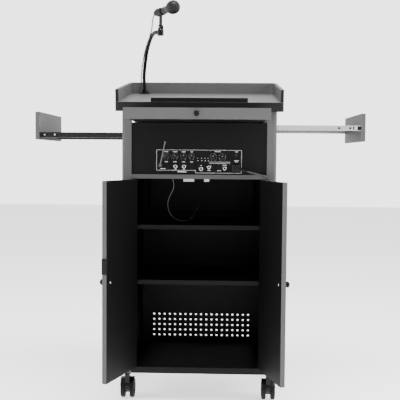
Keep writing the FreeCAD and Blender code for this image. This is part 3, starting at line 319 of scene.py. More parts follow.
def laminate(name, mask=None, outside=None, inside=None, turn=(0, 0, 0), start=(0, 0, 0)):
    """Melamine laminate on particleboard, pressed with a fine matte grain.

    It gives a soft, broad sheen with no clear reflection.  The mask picks the faces
    that wear the second colour, by the place of the surface in the piece's own frame.
    """
    material, tree, shader = new_material(name)
    place = object_space(tree, turn, start)
    outside = outside or tuple(colours().charcoal)
    colour, normal = leather_grain(tree, outside, place)
    if mask:
        axis, low, high = mask
        split = node(tree, "ShaderNodeSeparateXYZ", {0: place})
        pick = band(tree, split.outputs[axis], low, high)
        dark = inside or tuple(colours().black_board)
        dark_colour, _ = leather_grain(tree, dark, place)
        colour = shaded(tree, pick, colour, dark_colour)
    fill(
        tree,
        shader,
        Base_Color=colour,
        Normal=normal,
        Roughness=0.55,
        IOR=1.5,
        Specular_IOR_Level=MATTE,
    )
    return material


def moulded_plastic(name, colour, roughness, grain_mm=1.5):
    """Black ABS or nylon, injection moulded with a light spark-eroded texture.

    It gives a dull, even sheen.  The real texture is finer, and is drawn at grain_mm so
    that it shows.
    """
    material, tree, shader = new_material(name)
    place = object_space(tree)
    fine = grit(tree, place, grain_mm)
    tone = shaded(tree, fine, scaled(colour, 0.8), scaled(colour, 1.25))
    bump = node(
        tree, "ShaderNodeBump", {"Height": fine, "Strength": 0.1, "Distance": 0.1 * MM}
    )
    fill(
        tree,
        shader,
        Base_Color=tone,
        Normal=bump.outputs["Normal"],
        Roughness=roughness,
        IOR=1.5,
        Specular_IOR_Level=MATTE,
    )
    return material


def powder_coat(name, colour, roughness=0.45):
    """Polyester powder coat on steel, baked to a fine orange peel.

    It gives a satin skin with a faint ripple in its highlights.
    """
    material, tree, shader = new_material(name)
    place = object_space(tree)
    peel = grit(tree, place, 3.0, 1.0)
    tone = shaded(tree, peel, scaled(colour, 0.85), scaled(colour, 1.15))
    bump = node(
        tree, "ShaderNodeBump", {"Height": peel, "Strength": 0.15, "Distance": 0.2 * MM}
    )
    fill(
        tree,
        shader,
        Base_Color=tone,
        Normal=bump.outputs["Normal"],
        Roughness=roughness,
        IOR=1.5,
        Specular_IOR_Level=MATTE,
    )
    return material


def zinc_plate(name, tint=None):
    """Cold-rolled steel with bright zinc plate, drawn along X through the rolls.

    It gives a bright, slightly streaked metal with a soft reflection.
    """
    material, tree, shader = new_material(name)
    source = object_space(tree)
    tint = tint or tuple(colours().zinc)
    streak = node(
        tree, "ShaderNodeMapping", {"Vector": source, "Scale": (12.0, 900.0, 900.0)}
    ).outputs["Vector"]
    lines = node(
        tree, "ShaderNodeTexNoise", {"Vector": streak, "Scale": 1.0, "Detail": 2.0}
    ).outputs["Fac"]
    tone = shaded(tree, lines, scaled(tint, 0.82), tint)
    rough = node(
        tree,
        "ShaderNodeMapRange",
        {"Value": lines, "To Min": 0.28, "To Max": 0.42},
    ).outputs["Result"]
    fill(tree, shader, Base_Color=tone, Metallic=1.0, Roughness=rough, Normal=eased(tree, 0.5))
    return material


def nickel(name):
    """Turned brass with bright nickel plate.

    It gives a bright, slightly warm metal whose reflection is a little hazed.
    """
    material, tree, shader = new_material(name)
    haze = grit(tree, object_space(tree), 1.2)
    rough = node(tree, "ShaderNodeMapRange", {"Value": haze, "To Min": 0.2, "To Max": 0.34})
    colour = linear("#c2c0ba")
    fill(tree, shader, Base_Color=colour, Metallic=1.0, Roughness=rough.outputs["Result"])
    return material


def cord_jacket(name, colour=linear("#2a2a2b")):
    """PVC jacket, extruded smooth.

    It gives a soft line of light along the cord and a faint haze in its colour.
    """
    material, tree, shader = new_material(name)
    place = object_space(tree)
    haze = grit(tree, place, 4.0)
    tone = shaded(tree, haze, scaled(colour, 0.8), scaled(colour, 1.3))
    fill(tree, shader, Base_Color=tone, Roughness=0.42, IOR=1.53)
    return material


def white_print():
    """Screen-printed epoxy ink.

    It gives a matte, slightly uneven white.
    """
    material, tree, shader = new_material("white_print")
    place = object_space(tree)
    wear = grit(tree, place, 2.0)
    tone = shaded(tree, wear, linear("#b9b9b9"), linear("#dcdcdc"))
    fill(tree, shader, Base_Color=tone, Roughness=0.6)
    return material


def dress(names, material):
    """Give every slot of these CAD nodes one material."""
    for name in names:
        if name not in NODES:
            continue
        piece = NODES[name]
        for slot in piece.material_slots:
            slot.material = material
        if not piece.material_slots:
            piece.data.materials.append(material)


# ---------------------------------------------------------------- mesh helpers


def grid_faces(rows, columns, close_rows, close_columns):
    """Quads of a grid of points, wrapped round where it closes on itself."""
    i = np.arange(rows if close_rows else rows - 1)
    j = np.arange(columns if close_columns else columns - 1)
    i, j = np.meshgrid(i, j, indexing="ij")
    i, j = i.ravel(), j.ravel()
    right = (j + 1) % columns
    up = (i + 1) % rows
    return np.stack(
        [i * columns + j, i * columns + right, up * columns + right, up * columns + j], 1
    )


def tube_faces(rings, around):
    """Quads between the rings of a tube, and one face over each end."""
    faces = grid_faces(rings, around, False, True).tolist()
    cap = np.arange(around)
    faces.append(cap[::-1].tolist())
    faces.append((cap + (rings - 1) * around).tolist())
    return faces


def mesh_piece(name, points, faces, material, body, smooth=True):
    """Put arrays of points and faces into a mesh that rides on a CAD body, if one is named."""
    mesh = bpy.data.meshes.new(name)
    mesh.from_pydata(points.tolist(), [], [list(map(int, f)) for f in faces])
    mesh.update()
    piece = bpy.data.objects.new(name, mesh)
    bpy.context.collection.objects.link(piece)
    mesh.materials.append(material)
    mesh.polygons.foreach_set("use_smooth", [smooth] * len(mesh.polygons))
    if body:
        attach(piece, body)
    return piece


def frame_of(axis):
    """Two unit vectors square to an axis and the axis's own, as rows of an array."""
    axis = np.array(axis, float)
    axis /= np.linalg.norm(axis)
    helper = np.array([0, 0, 1.0]) if abs(axis[2]) < 0.9 else np.array([1.0, 0, 0])
    first = np.cross(helper, axis)
    first /= np.linalg.norm(first)
    return np.stack([first, np.cross(axis, first), axis])


def turned(places, axes, profile, around=20, ring=False):
    """Surfaces of revolution: each profile point is (radius, height) along its axis.

    Every place gets the same profile, swept round its own axis by
    place + radius * (cos a * u + sin a * v) + height * axis.  A ring's profile closes
    on itself; any other is capped at both ends.
    """
    profile = np.array(profile, float)
    angle = np.linspace(0, 2 * np.pi, around, endpoint=False)
    points, faces = [], []
    base = grid_faces(len(profile), around, ring, True)
    cap = np.arange(around)
    for index, (place, axis) in enumerate(zip(places, axes)):
        u, v, w = frame_of(axis)
        spokes = np.outer(np.cos(angle), u) + np.outer(np.sin(angle), v)
        shape = profile[:, 0][:, None, None] * spokes + profile[:, 1][:, None, None] * w
        start = index * len(profile) * around
        points.append((shape + np.array(place)).reshape(-1, 3))
        faces.extend((base + start).tolist())
        if not ring:
            faces.append((cap[::-1] + start).tolist())
            faces.append((cap + start + (len(profile) - 1) * around).tolist())
    return np.concatenate(points), faces


def blocks(rows):
    """Flat boxes on one upright plane: (x, y, z, angle, length, width, rise) in mm each.

    A box's long side makes the angle, in degrees, with +X, and it rises towards -Y.
    """
    x, y, z, angle, length, width, rise = np.array(rows, float).T
    turn = np.radians(angle)
    along = np.stack([np.cos(turn), 0 * turn, np.sin(turn)], 1) * length[:, None] / 2
    across = np.stack([-np.sin(turn), 0 * turn, np.cos(turn)], 1) * width[:, None] / 2
    middle = np.stack([x, y, z], 1)
    outward = np.stack([0 * x, -rise, 0 * x], 1)
    ring = [middle - along - across, middle + along - across]
    ring += [middle + along + across, middle - along + across]
    points = np.stack(ring + [c + outward for c in ring], 1).reshape(-1, 3)
    box_faces = np.array(
        [[3, 2, 1, 0], [4, 5, 6, 7], [0, 1, 5, 4], [1, 2, 6, 5], [2, 3, 7, 6], [3, 0, 4, 7]]
    )
    start = np.arange(len(x))[:, None, None] * 8
    return points * MM + FRONT_ORIGIN, (box_faces[None] + start).reshape(-1, 4)


def block_piece(name, rows, material, body):
    """Flat boxes in one piece, with flat faces."""
    points, faces = blocks(rows)
    return mesh_piece(name, points, faces, material, body, smooth=False)


def smooth_path(route, per_span):
    """A quadratic B-spline through the middles of the route's runs.

    Between the middles M and M' of two runs that meet at P it is
    (1 - t)^2 M + 2 t (1 - t) P + t^2 M'.
    """
    route = np.array(route, float)
    middles = (route[1:] + route[:-1]) / 2
    t = np.linspace(0, 1, per_span, endpoint=False)[:, None]
    spans = [route[0] + (middles[0] - route[0]) * t]
    for start, turn_point, end in zip(middles, route[1:-1], middles[1:]):
        spans.append((1 - t) ** 2 * start + 2 * t * (1 - t) * turn_point + t**2 * end)
    spans.append(middles[-1] + (route[-1] - middles[-1]) * np.linspace(0, 1, per_span)[:, None])
    return np.concatenate(spans)


# Steps of a path in each span, fine enough to measure along.
PATH_STEPS = 400


def swept_tube(route, radius, spacing, around, ridge=0.0, pitch=1.0):
    """A tube along a route, capped at both ends, and the centreline it follows.

    Its radius is radius + ridge * |sin(pi (s / pitch - a / 2 pi))| at the length s
    along its path and the angle a round it, so a ridge winds it like a strip.
    """
    line = smooth_path(route, PATH_STEPS)
    gaps = np.linalg.norm(np.diff(line, axis=0), axis=1)
    travelled = np.concatenate([[0], np.cumsum(gaps)])
    count = int(travelled[-1] / spacing)
    s = np.linspace(0, travelled[-1], count)
    centre = np.stack([np.interp(s, travelled, line[:, i]) for i in range(3)], 1)
    heading = np.gradient(centre, axis=0)
    heading /= np.linalg.norm(heading, axis=1)[:, None]
    first = np.cross(heading, np.array([1.0, 0, 0]))
    first /= np.linalg.norm(first, axis=1)[:, None]
    second = np.cross(heading, first)
    angle = np.linspace(0, 2 * np.pi, around, endpoint=False)
    wave = np.abs(np.sin(np.pi * (s[:, None] / pitch - angle[None] / (2 * np.pi))))
    reach = (radius + ridge * wave)[..., None]
    spokes = np.cos(angle)[None, :, None] * first[:, None]
    spokes = spokes + np.sin(angle)[None, :, None] * second[:, None]
    points = (centre[:, None] + reach * spokes).reshape(-1, 3)
    return points * MM + FRONT_ORIGIN, tube_faces(count, around), centre * MM + FRONT_ORIGIN


# Radius and height, as shares of the head's radius.
SCREW_HEAD = ((1.0, 0.0), (1.0, 0.12), (0.86, 0.36), (0.5, 0.55), (0.22, 0.58), (0.12, 0.3))


def screws(name, places, axes, radius, material, body):
    """Pan-head screws: a low dome with a small recess in its middle."""
    profile = [(r * radius, h * radius) for r, h in SCREW_HEAD]
    points, faces = turned(places, axes, profile, 16)
    return mesh_piece(name, points, faces, material, body)


# ---------------------------------------------------------------- cords

# Control points of the cords' centrelines, in millimetres from the front plane.
POWER_CORD_ROUTE = [
    (187.84, -12, 912.7),
    (216, -13, 905),
    (244, -17, 897.5),
    (266, -18, 888),
    (283, -16, 872),
    (296, -13, 848),
    (305, -6, 819),
    (308.5, 14, 786),
    (308, 46, 751),
    (306.5, 86, 707),
    (305.5, 130, 655),
    (305, 176, 594),
    (305, 220, 523),
    (305, 262, 445),
    (305, 300, 363),
    (305, 337, 282),
    (305, 375, 210),
    (305.5, 415, 156),
    (305, 457, 124),
    (300, 494, 96),
    (286, 515, 62),
    (262, 528, 30),
    (233, 535, 8),
    (203, 536.5, 4),
    (172, 536, 4),
]
MIC_CABLE_ROUTE = [
    (-181.6, 129.5, 1539.9),
    (-188, 140.2, 1538.5),
    (-194.5, 149, 1527),
    (-197.5, 153.5, 1508),
    (-199, 157, 1489),
    (-203, 163, 1473),
    (-209, 178, 1459),
    (-220, 221, 1447.5),
    (-233.5, 271, 1430.5),
    (-246, 318, 1408),
    (-256, 357, 1379),
    (-264.5, 386, 1344),
    (-269, 404, 1309),
    (-270, 413, 1283),
    (-274, 417, 1262),
    (-280, 419, 1244),
]
BAY_WIRE_ROUTE = [
    (-113, 170, 882),
    (-110, 169, 866),
    (-107, 170, 849),
    (-112, 170, 829),
    (-125, 171, 806),
    (-133, 171, 781),
    (-132, 172, 756),
    (-124, 174, 734),
    (-109, 179, 716),
    (-88, 188, 704),
    (-64, 201, 701.4),
    (-46, 220, 704),
    (-35, 246, 714),
    (-27, 280, 728),
    (-19, 316, 741),
    (-13, 352, 751),
    (-10, 380, 754),
    (-9, 397, 755),
]
MIC_CABLE_DIAMETER = 4.7
# The cable lies along the gooseneck up to the first point and follows the microphone
# from the second.
CORD_DIAMETER = 7
COIL_MIDDLE = (140, 494)
COIL_TURNS = 2.5
COIL_RADIUS = 38.5
COIL_STEPS = 14
# Places on the coil, in turns from its start: where it begins to draw in by one cord,
# where it begins to climb, and how long it climbs.
DRAW_IN_AT = 0.4
CLIMB_AT = 1.4
CLIMB_OVER = 0.5
FLOOR_HEIGHT = 4.0
CLIMB_HEIGHT = 6.2
CLIMB_OUT = 3.5
# The cord's end, ahead of the coil's middle.
TAIL_AHEAD = (3, 18, 32)
TAIL_HEIGHT = 10


def coil_points():
    """The put-away turns: a spiral inwards on the floor, then a part that climbs on top.

    The cord comes in at the back heading -X and leaves at the front heading +X, and
    goes round anticlockwise seen from above.
    """
    middle_x, middle_y = COIL_MIDDLE
    points = []
    for i in range(1, int(COIL_TURNS * COIL_STEPS)):
        turn = i / COIL_STEPS
        angle = math.pi / 2 + 2 * math.pi * turn
        drawn_in = CORD_DIAMETER * min(max(turn - DRAW_IN_AT, 0), 1)
        radius = COIL_RADIUS + CORD_DIAMETER / 2 - drawn_in
        height = FLOOR_HEIGHT
        if turn > CLIMB_AT:
            lift = min((turn - CLIMB_AT) / CLIMB_OVER, 1)
            height += CLIMB_HEIGHT * lift * lift * (3 - 2 * lift)
            radius += CLIMB_OUT * lift
        x = middle_x + radius * math.cos(angle)
        y = middle_y + radius * math.sin(angle)
        points.append((x, y, height))
    front_y = middle_y - COIL_RADIUS
    points += [(middle_x + ahead, front_y, TAIL_HEIGHT) for ahead in TAIL_AHEAD]
    return points


def cord_curve(name, route, diameter_mm, material):
    """A round cord on the cabinet: one NURBS line of order 3 led by its route's points."""
    curve = bpy.data.curves.new(name, "CURVE")
    curve.dimensions = "3D"
    curve.bevel_depth = diameter_mm / 2 * MM
    curve.bevel_resolution = 4
    curve.resolution_u = 10
    curve.use_fill_caps = True
    spline = curve.splines.new("NURBS")
    spline.points.add(len(route) - 1)
    for point, place in zip(spline.points, route):
        point.co = (*front_place(*place), 1.0)
    spline.order_u = 3
    spline.use_endpoint_u = True
    spline.use_smooth = True
    piece = bpy.data.objects.new(name, curve)
    bpy.context.collection.objects.link(piece)
    curve.materials.append(material)
    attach(piece, "cabinet")
    return piece


class LECTERN_OT_cords(bpy.types.Operator):
    """Lay the power cord and its coil, the microphone cable and the loose wire"""

    bl_idname = "lectern.cords"
    bl_label = "Cords"

    def execute(self, context):
        jacket = cord_jacket("pvc_cord_jacket")
        power = cord_curve(
            "mains_cord", POWER_CORD_ROUTE + coil_points(), CORD_DIAMETER, jacket
        )
        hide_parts("power_cord", "power_cord_coil")
        points, faces, line = swept_tube(
            MIC_CABLE_ROUTE, MIC_CABLE_DIAMETER / 2, spacing=3, around=12
        )
        cable = mesh_piece("microphone_cable", points, faces, jacket, None)
        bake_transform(cable)
        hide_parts("mic_cable")
        thin_jacket = cord_jacket("bay_wire_jacket", linear("#8e8e8e"))
        wire = cord_curve("loose_bay_wire", BAY_WIRE_ROUTE, 2, thin_jacket)
        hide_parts("bay_wire")
        return {"FINISHED"}


# ---------------------------------------------------------------- cabinet and desk


# A mask's open end, in metres past every surface.
FAR = 5.0
# How far past a face its mask ends, in millimetres, so that the face isn't on the edge.
MARGIN = 0.3
# In the desk top's frame, in millimetres: the height under which its edge band shows,
# and the depth up to which the gallery shows it.
DESK_FACE = 35.7
GALLERY_FACE = 14.5


class LECTERN_OT_cabinet(bpy.types.Operator):
    """Finish the sides, boards, shelves and audience panel"""

    bl_idname = "lectern.cabinet"
    bl_label = "Cabinet finish"

    def execute(self, context):
        inner = SIDE_INNER + MARGIN * MM
        # The sides and the audience panel are charcoal outside and black inside.
        dress(["side_panel_left"], laminate("left_side_laminate", ("X", -inner, FAR)))
        dress(["side_panel_right"], laminate("right_side_laminate", ("X", -FAR, inner)))
        back_inner = corner("audience_panel", False, "y") + MARGIN * MM
        dress(["audience_panel"], laminate("audience_laminate", ("Y", -FAR, back_inner)))
        board = laminate("black_board_laminate", outside=tuple(colours().black_board))
        dress(["bottom_board", "shelves", "speaker_box"], board)
        edge = corner("divider_board", False, "y") + MARGIN * MM
        dress(
            ["divider_board"],
            laminate(
                "divider_laminate",
                ("Y", -FAR, edge),
                outside=tuple(colours().black_board),
                inside=tuple(colours().charcoal),
            ),
        )
        return {"FINISHED"}


class LECTERN_OT_desk(bpy.types.Operator):
    """Finish the desk top, its moulded edge, the gallery and the book stop"""

    bl_idname = "lectern.desk"
    bl_label = "Desk finish"

    def execute(self, context):
        tilt = (DESK_TILT, 0, 0)
        dress(
            ["desk_top"],
            laminate(
                "desk_laminate",
                ("Z", -FAR, DESK_FACE * MM),
                inside=tuple(colours().edge_band),
                turn=tilt,
                start=DESK_LOW,
            ),
        )
        dress(
            ["gallery_rail"],
            laminate(
                "gallery_laminate",
                ("Y", -FAR, GALLERY_FACE * MM),
                inside=tuple(colours().edge_band),
                turn=tilt,
                start=DESK_LOW,
            ),
        )
        dress(["book_stop"], moulded_plastic("book_stop_plastic", linear("#121213"), 0.5))
        return {"FINISHED"}


# ---------------------------------------------------------------- doors


# The hinge pins' place in from the sides and ahead of the front plane, the door's
# thickness, and the knobs' place to each side, in millimetres.
PIN_INSET = 4
PIN_AHEAD = 3.6
DOOR_THICK = 18
KNOB_X = 32


def door_frame(side):
    """A door's hand, its hinge axis and its turn from closed, for placing what is on it."""
    sign = -1 if side == "left" else 1
    pivot = front_place(sign * (SIDE_INNER / MM - PIN_INSET), -PIN_AHEAD, 0)
    return sign, pivot, DOOR_TURNS[side]


def on_door(side, x, y, z):
    """A place on the closed door, in millimetres from the front plane, as it stands."""
    _, pivot, turn = door_frame(side)
    spot = front_place(x, y, z) - pivot
    return pivot + Matrix.Rotation(turn, 3, "Z") @ spot


def door_way(side, direction):
    """A direction on the closed door, as the door stands."""
    return Matrix.Rotation(DOOR_TURNS[side], 3, "Z") @ Vector(direction)


# Hinge sizes in millimetres: a leaf's height, how far in from the side the fixed and
# the moving leaf show their faces, and how deep the screws sit; and the screws' heights
# as shares of the leaf.
LEAF_HIGH = 64
FIXED_LEAF_FACE = 1.1
MOVING_LEAF_FACE = 1.35
SCREW_DEPTH = 10.5
SCREW_SHARES = (0.17, 0.5, 0.83)
# The knob screw's head as a share of a hinge screw's.
KNOB_SCREW = 1.2
# Radius as a share of the head's, and height in millimetres.
FLAT_HEAD = ((1.0, 0.0), (0.95, 0.12), (0.34, 0.12), (0.26, 0.02))


class LECTERN_OT_doors(bpy.types.Operator):
    """Finish the doors, hinges, knobs, latch and catches, and add the screws of the hinges and
    knobs
    """

    bl_idname = "lectern.doors"
    bl_label = "Doors"

    def execute(self, context):
        plate = zinc_plate("hinge_zinc")
        black = moulded_plastic("knob_plastic", linear("#141415"), 0.35)
        head = sizes().screw_head
        for side in ("left", "right"):
            sign, pivot, turn = door_frame(side)
            inner_face = (PIN_AHEAD + DOOR_THICK - MARGIN) * MM
            dress(
                [f"door_{side}"],
                laminate(
                    f"{side}_door_laminate",
                    ("Y", inner_face, FAR),
                    turn=(0, 0, turn),
                    start=pivot,
                ),
            )
            dress([f"hinge_leaves_{side}"], plate)
            dress([f"door_knob_{side}"], black)
            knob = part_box(f"door_knob_{side}")
            height = (knob[0][2] + knob[1][2]) / 2 / MM
            place = on_door(side, sign * KNOB_X, DOOR_THICK, height)
            screws(
                f"knob_screw_{side}",
                [place],
                [door_way(side, (0, 1, 0))],
                head * KNOB_SCREW,
                plate,
                f"{side}_door",
            )
        dress(["hinge_leaves_cabinet"], plate)
        self.fasten_hinges(plate)
        dress(["door_latch"], powder_coat("latch_enamel", linear("#0e0e0f")))
        dress(["door_catches"], zinc_plate("catch_zinc"))
        return {"FINISHED"}

    def fasten_hinges(self, plate):
        """Three flat screws in every leaf, their heads level with its face."""
        head = sizes().screw_head
        profile = [(r * head, h * MM) for r, h in FLAT_HEAD]
        low = corner("hinge_leaves_cabinet", False, "z") / MM
        high = corner("hinge_leaves_cabinet", True, "z") / MM - LEAF_HIGH
        levels = [low + (high - low) * share for share in (0, 0.5, 1)]
        heights = [z + LEAF_HIGH * share for z in levels for share in SCREW_SHARES]
        for side in ("left", "right"):
            sign = -1 if side == "left" else 1
            wall = sign * (SIDE_INNER / MM - FIXED_LEAF_FACE)
            places = [front_place(wall, SCREW_DEPTH, z) for z in heights]
            points, faces = turned(places, [(-sign, 0, 0)] * len(places), profile, 16)
            name = f"cabinet_leaf_screws_{side}"
            mesh_piece(name, points, faces, plate, "cabinet")
            edge = sign * (SIDE_INNER / MM - MOVING_LEAF_FACE)
            places = [on_door(side, edge, SCREW_DEPTH, z) for z in heights]
            way = door_way(side, (sign, 0, 0))
            points, faces = turned(places, [way] * len(places), profile, 16)
            mesh_piece(f"door_leaf_screws_{side}", points, faces, plate, f"{side}_door")


# ---------------------------------------------------------------- drawer and trays


# Sizes on the tray slides in millimetres: (up from the middle, width, rise) of a lip;
# (back from the tip, angle, length, width, rise) of the clip and its slot; and the
# places of holes and screws back from the tip.
SLIDE_LIP = (8.8, 2.4, 0.9)
LIP_START = 2
SLIDE_CLIP = (7, 0, 14, 15, 1.2)
SLIDE_SLOT = (29, 90, 12, 5, 0.25)
HOLES_BACK = (85, 42)
HOLE_DISC = ((4.2, 0), (4.2, 0.3), (0.5, 0.3))
SCREWS_BACK = (20, 60)
SLIDE_SCREW = 3.2


class LECTERN_OT_slides(bpy.types.Operator):
    """Finish the drawer, the side trays and their slides"""

    bl_idname = "lectern.slides"
    bl_label = "Drawer and trays"

    def execute(self, context):
        dress(["drawer_front"], laminate("drawer_laminate"))
        for side in ("left", "right"):
            dress([f"tray_panel_{side}"], laminate(f"{side}_tray_panel_laminate"))
        board = laminate("tray_board_laminate", outside=tuple(colours().black_board))
        dress(["drawer_tray", "tray_board_left", "tray_board_right"], board)
        dress(["drawer_knob"], moulded_plastic("drawer_knob_plastic", linear("#101011"), 0.3))
        zinc = zinc_plate("slide_zinc")
        dress(["slide_channels", "drawer_rails", "tray_rails_right"], zinc)
        # The left slides are the same zinc slides as the right. Their darker tint is painted
        # shade.
        dark = zinc_plate("slide_zinc_in_painted_shade", linear("#3a3a3c"))
        dress(["tray_rails_left"], dark)
        self.trim_slides(zinc, dark)
        return {"FINISHED"}

    def trim_slides(self, zinc, dark):
        """Rolled lips, holes, end clips and screws on the faces of the tray slides."""
        clip = moulded_plastic("slide_clip_nylon", linear("#0c0c0c"), 0.5)
        tip = TRAY_RAIL_TIP
        start = SIDE_OUTER + LIP_START
        run = tip - start
        up, width, rise = SLIDE_LIP
        disc = in_metres(HOLE_DISC)
        # The left slide's lips take the darker zinc too, which is painted shade.
        for side, hand, metal in (("left", -1, dark), ("right", 1, zinc)):
            low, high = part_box(f"tray_rails_{side}")
            front = front_of(f"tray_rails_{side}")
            middle = (low[2] + high[2]) / 2 / MM
            body = f"tray_{side}"
            lips = [
                (hand * (start + run / 2), front, middle + way * up, 0, run, width, rise)
                for way in (-1, 1)
            ]
            block_piece(f"tray_slide_lips_{side}", lips, metal, body)
            rows = [
                (hand * (tip - back), front, middle, *size)
                for back, *size in (SLIDE_CLIP, SLIDE_SLOT)
            ]
            block_piece(f"tray_slide_clip_{side}", rows, clip, body)
            places = [front_place(hand * (tip - back), front, middle) for back in HOLES_BACK]
            points, faces = turned(places, [FORWARD] * 2, disc, 20)
            mesh_piece(f"tray_slide_holes_{side}", points, faces, clip, body)
            places = [front_place(hand * (tip - back), front, middle) for back in SCREWS_BACK]
            name = f"tray_slide_screws_{side}"
            screws(name, places, [FORWARD] * 2, SLIDE_SCREW * MM, zinc, body)


# ---------------------------------------------------------------- amplifier

# Places and sizes on the faceplate, in millimetres.
FACE_Y = front_of("amp_unit")
LEVEL_KNOBS = (-127, -93, -60, -28)
LEVEL_Z = 969
LEVEL_SCALE = 11.5
TONE_DIALS = (55, 90)
TONE_Z = 967
TONE_SCALE = 13
MARK_LONG = 2.4
MARK_WIDE = 0.8
# Each kind of pointer: its piece, control, places, height, length and width.
POINTERS = (
    ("level", "level_knob", LEVEL_KNOBS, LEVEL_Z + 3, 4.4, 1.1),
    ("tone", "tone_dial", TONE_DIALS, TONE_Z + 3.6, 5, 1.2),
)
POINTER_RISE = 0.2
JACKS = ((-91, 930), (-58, 930), (8, 921), (39, 928), (100, 924))
JACK_RING = ((3.5, 4.05), (5.2, 5.0), (7.6, 4.6), (7.9, 3.4), (7.6, 3.1), (4.5, 4.0))
FACEPLATE_SCREWS = ((-160, 908.5), (-160, 991), (160, 908.5), (160, 991))
FACEPLATE_SCREW = 2.6
LINE_RISE = 0.3
# Left, right, low and high edges of the printed fields.
PRINT_FIELDS = (
    (-164.5, -111.2, 915, 994),
    (-111.2, -77.1, 915, 994),
    (-77.1, -43.3, 915, 994),
    (-43.3, -13.1, 915, 994),
    (-13.1, 40.9, 942.5, 994),
    (40.9, 119.6, 948, 994),
    (-13.1, 64.5, 905.5, 942.5),
    (64.5, 119.6, 905.5, 942.5),
    (119.6, 164.5, 905.5, 994),
)
# Middle, length and height of the bars that stand for labels.
LABELS = (
    (-127, 948, 12, 2.4),
    (-93, 948, 13, 2.4),
    (-60, 948, 11, 2.4),
    (-28, 948, 11, 2.4),
    (-127, 987, 15, 2.6),
    (-93, 987, 17, 2.6),
    (-60, 987, 15, 2.6),
    (-28, 987, 10, 2.6),
    (72, 988.5, 22, 2.2),
    (145, 988, 11, 2.6),
    (145, 954, 18, 2.4),
    (145, 949.5, 12, 2.2),
    (-140, 921, 20, 2.4),
    (-66, 909.5, 34, 3.2),
    (-91, 919, 8, 2),
    (-58, 919, 8, 2),
    (8, 934, 7, 2),
    (39, 915.5, 12, 2.2),
    (78, 915, 15, 2.2),
    (100, 936, 16, 2.2),
)
SWITCHES = (-5.5, 10, 23.5, 35.5)
SWITCH_Z = 953
SWITCH_BASE = (8, 3.6, 1.2)
SLIDER = (3, 2.6, 1.4)
SLIDER_SHIFT = 1.5
LAMP_Z = 962.5
LAMP_DOME = ((1.6, 0), (1.6, 0.8), (1.2, 1.7), (0.5, 2.1))


def printed(x, z, angle, length, width):
    """A row for blocks: a thin bar of ink on the faceplate."""
    return (x, FACE_Y, z, angle, length, width, LINE_RISE)


def outline_bars(left, right, low, high, width):
    """The four lines round one field of the faceplate."""
    middle_x, middle_z = (left + right) / 2, (low + high) / 2
    across, tall = right - left + width, high - low + width
    return [
        printed(middle_x, low, 0, across, width),
        printed(middle_x, high, 0, across, width),
        printed(left, middle_z, 90, tall, width),
        printed(right, middle_z, 90, tall, width),
    ]


def scale_marks(x, z, radius):
    """Eleven marks fanned round a control, over its 300 degrees of turn."""
    marks = []
    for angle in np.linspace(-60, 240, 11):
        turn = math.radians(angle)
        spot_x, spot_z = x + radius * math.cos(turn), z + radius * math.sin(turn)
        marks.append(printed(spot_x, spot_z, angle, MARK_LONG, MARK_WIDE))
    return marks


class LECTERN_OT_amplifier(bpy.types.Operator):
    """Finish the amplifier and print its faceplate"""

    bl_idname = "lectern.amplifier"
    bl_label = "Amplifier"

    def execute(self, context):
        black = powder_coat("amplifier_enamel", linear("#040404"), 0.6)
        dress(["amp_panel", "amp_unit"], black)
        plastic = moulded_plastic("control_plastic", linear("#101011"), 0.35, 0.8)
        controls = [f"level_knob_{i}" for i in range(1, 5)]
        controls += [f"tone_dial_{i}" for i in range(1, 3)] + ["power_rocker"]
        dress(controls, plastic)
        dress(["amp_sockets"], powder_coat("socket_enamel", linear("#39393b"), 0.35))
        dress(["antenna"], moulded_plastic("antenna_rubber", linear("#5c5c5d"), 0.5))
        ink = white_print()
        self.print_faceplate(ink)
        self.add_pointers(ink)
        self.add_jacks()
        self.add_switches(ink)
        return {"FINISHED"}

    def print_faceplate(self, ink):
        """Field outlines, label bars that stand for lettering, and scale marks."""
        width = sizes().print_line / MM
        rows = []
        for field in PRINT_FIELDS:
            rows += outline_bars(*field, width)
        rows += [printed(x, z, 0, length, tall) for x, z, length, tall in LABELS]
        for x in LEVEL_KNOBS:
            rows += scale_marks(x, LEVEL_Z, LEVEL_SCALE)
        for x in TONE_DIALS:
            rows += scale_marks(x, TONE_Z, TONE_SCALE)
        block_piece("faceplate_print", rows, ink, "cabinet")

    def add_pointers(self, ink):
        """A white line on the front of each knob and dial, from near its middle out."""
        for kind, control, places, z, length, width in POINTERS:
            for index, x in enumerate(places, start=1):
                row = (x, front_of(f"{control}_{index}"), z, 90, length, width, POINTER_RISE)
                name = f"{kind}_pointer_{index}"
                block_piece(name, [row], ink, f"{kind}_{index}")

    def add_jacks(self):
        """A plated ring round the mouth of each jack, and the faceplate's own screws."""
        places = [front_place(x, FACE_Y, z) for x, z in JACKS]
        axes = [FORWARD] * len(places)
        points, faces = turned(places, axes, in_metres(JACK_RING), 28, ring=True)
        metal = nickel("jack_nickel")
        mesh_piece("jack_rings", points, faces, metal, "cabinet")
        places = [front_place(x, FACE_Y, z) for x, z in FACEPLATE_SCREWS]
        enamel = powder_coat("faceplate_screw_enamel", linear("#161617"), 0.3)
        axes = [FORWARD] * len(places)
        radius = FACEPLATE_SCREW * MM
        screws("faceplate_screws", places, axes, radius, enamel, "cabinet")

    def add_switches(self, ink):
        """A row of slide switches, each with its lamp above it."""
        rows = [(x, FACE_Y, SWITCH_Z, 0, *SWITCH_BASE) for x in SWITCHES]
        base = moulded_plastic("switch_plastic", linear("#26262a"), 0.4)
        block_piece("slide_switches", rows, base, "cabinet")
        top = FACE_Y - SWITCH_BASE[2]
        rows = [(x + SLIDER_SHIFT, top, SWITCH_Z, 0, *SLIDER) for x in SWITCHES]
        block_piece("switch_sliders", rows, ink, "cabinet")
        places = [front_place(x, FACE_Y, LAMP_Z) for x in SWITCHES]
        points, faces = turned(places, [FORWARD] * len(places), in_metres(LAMP_DOME), 14)
        lamp = moulded_plastic("lamp_lens", linear("#b8b8b2"), 0.2)
        mesh_piece("switch_lamps", points, faces, lamp, "cabinet")


# ---------------------------------------------------------------- microphone


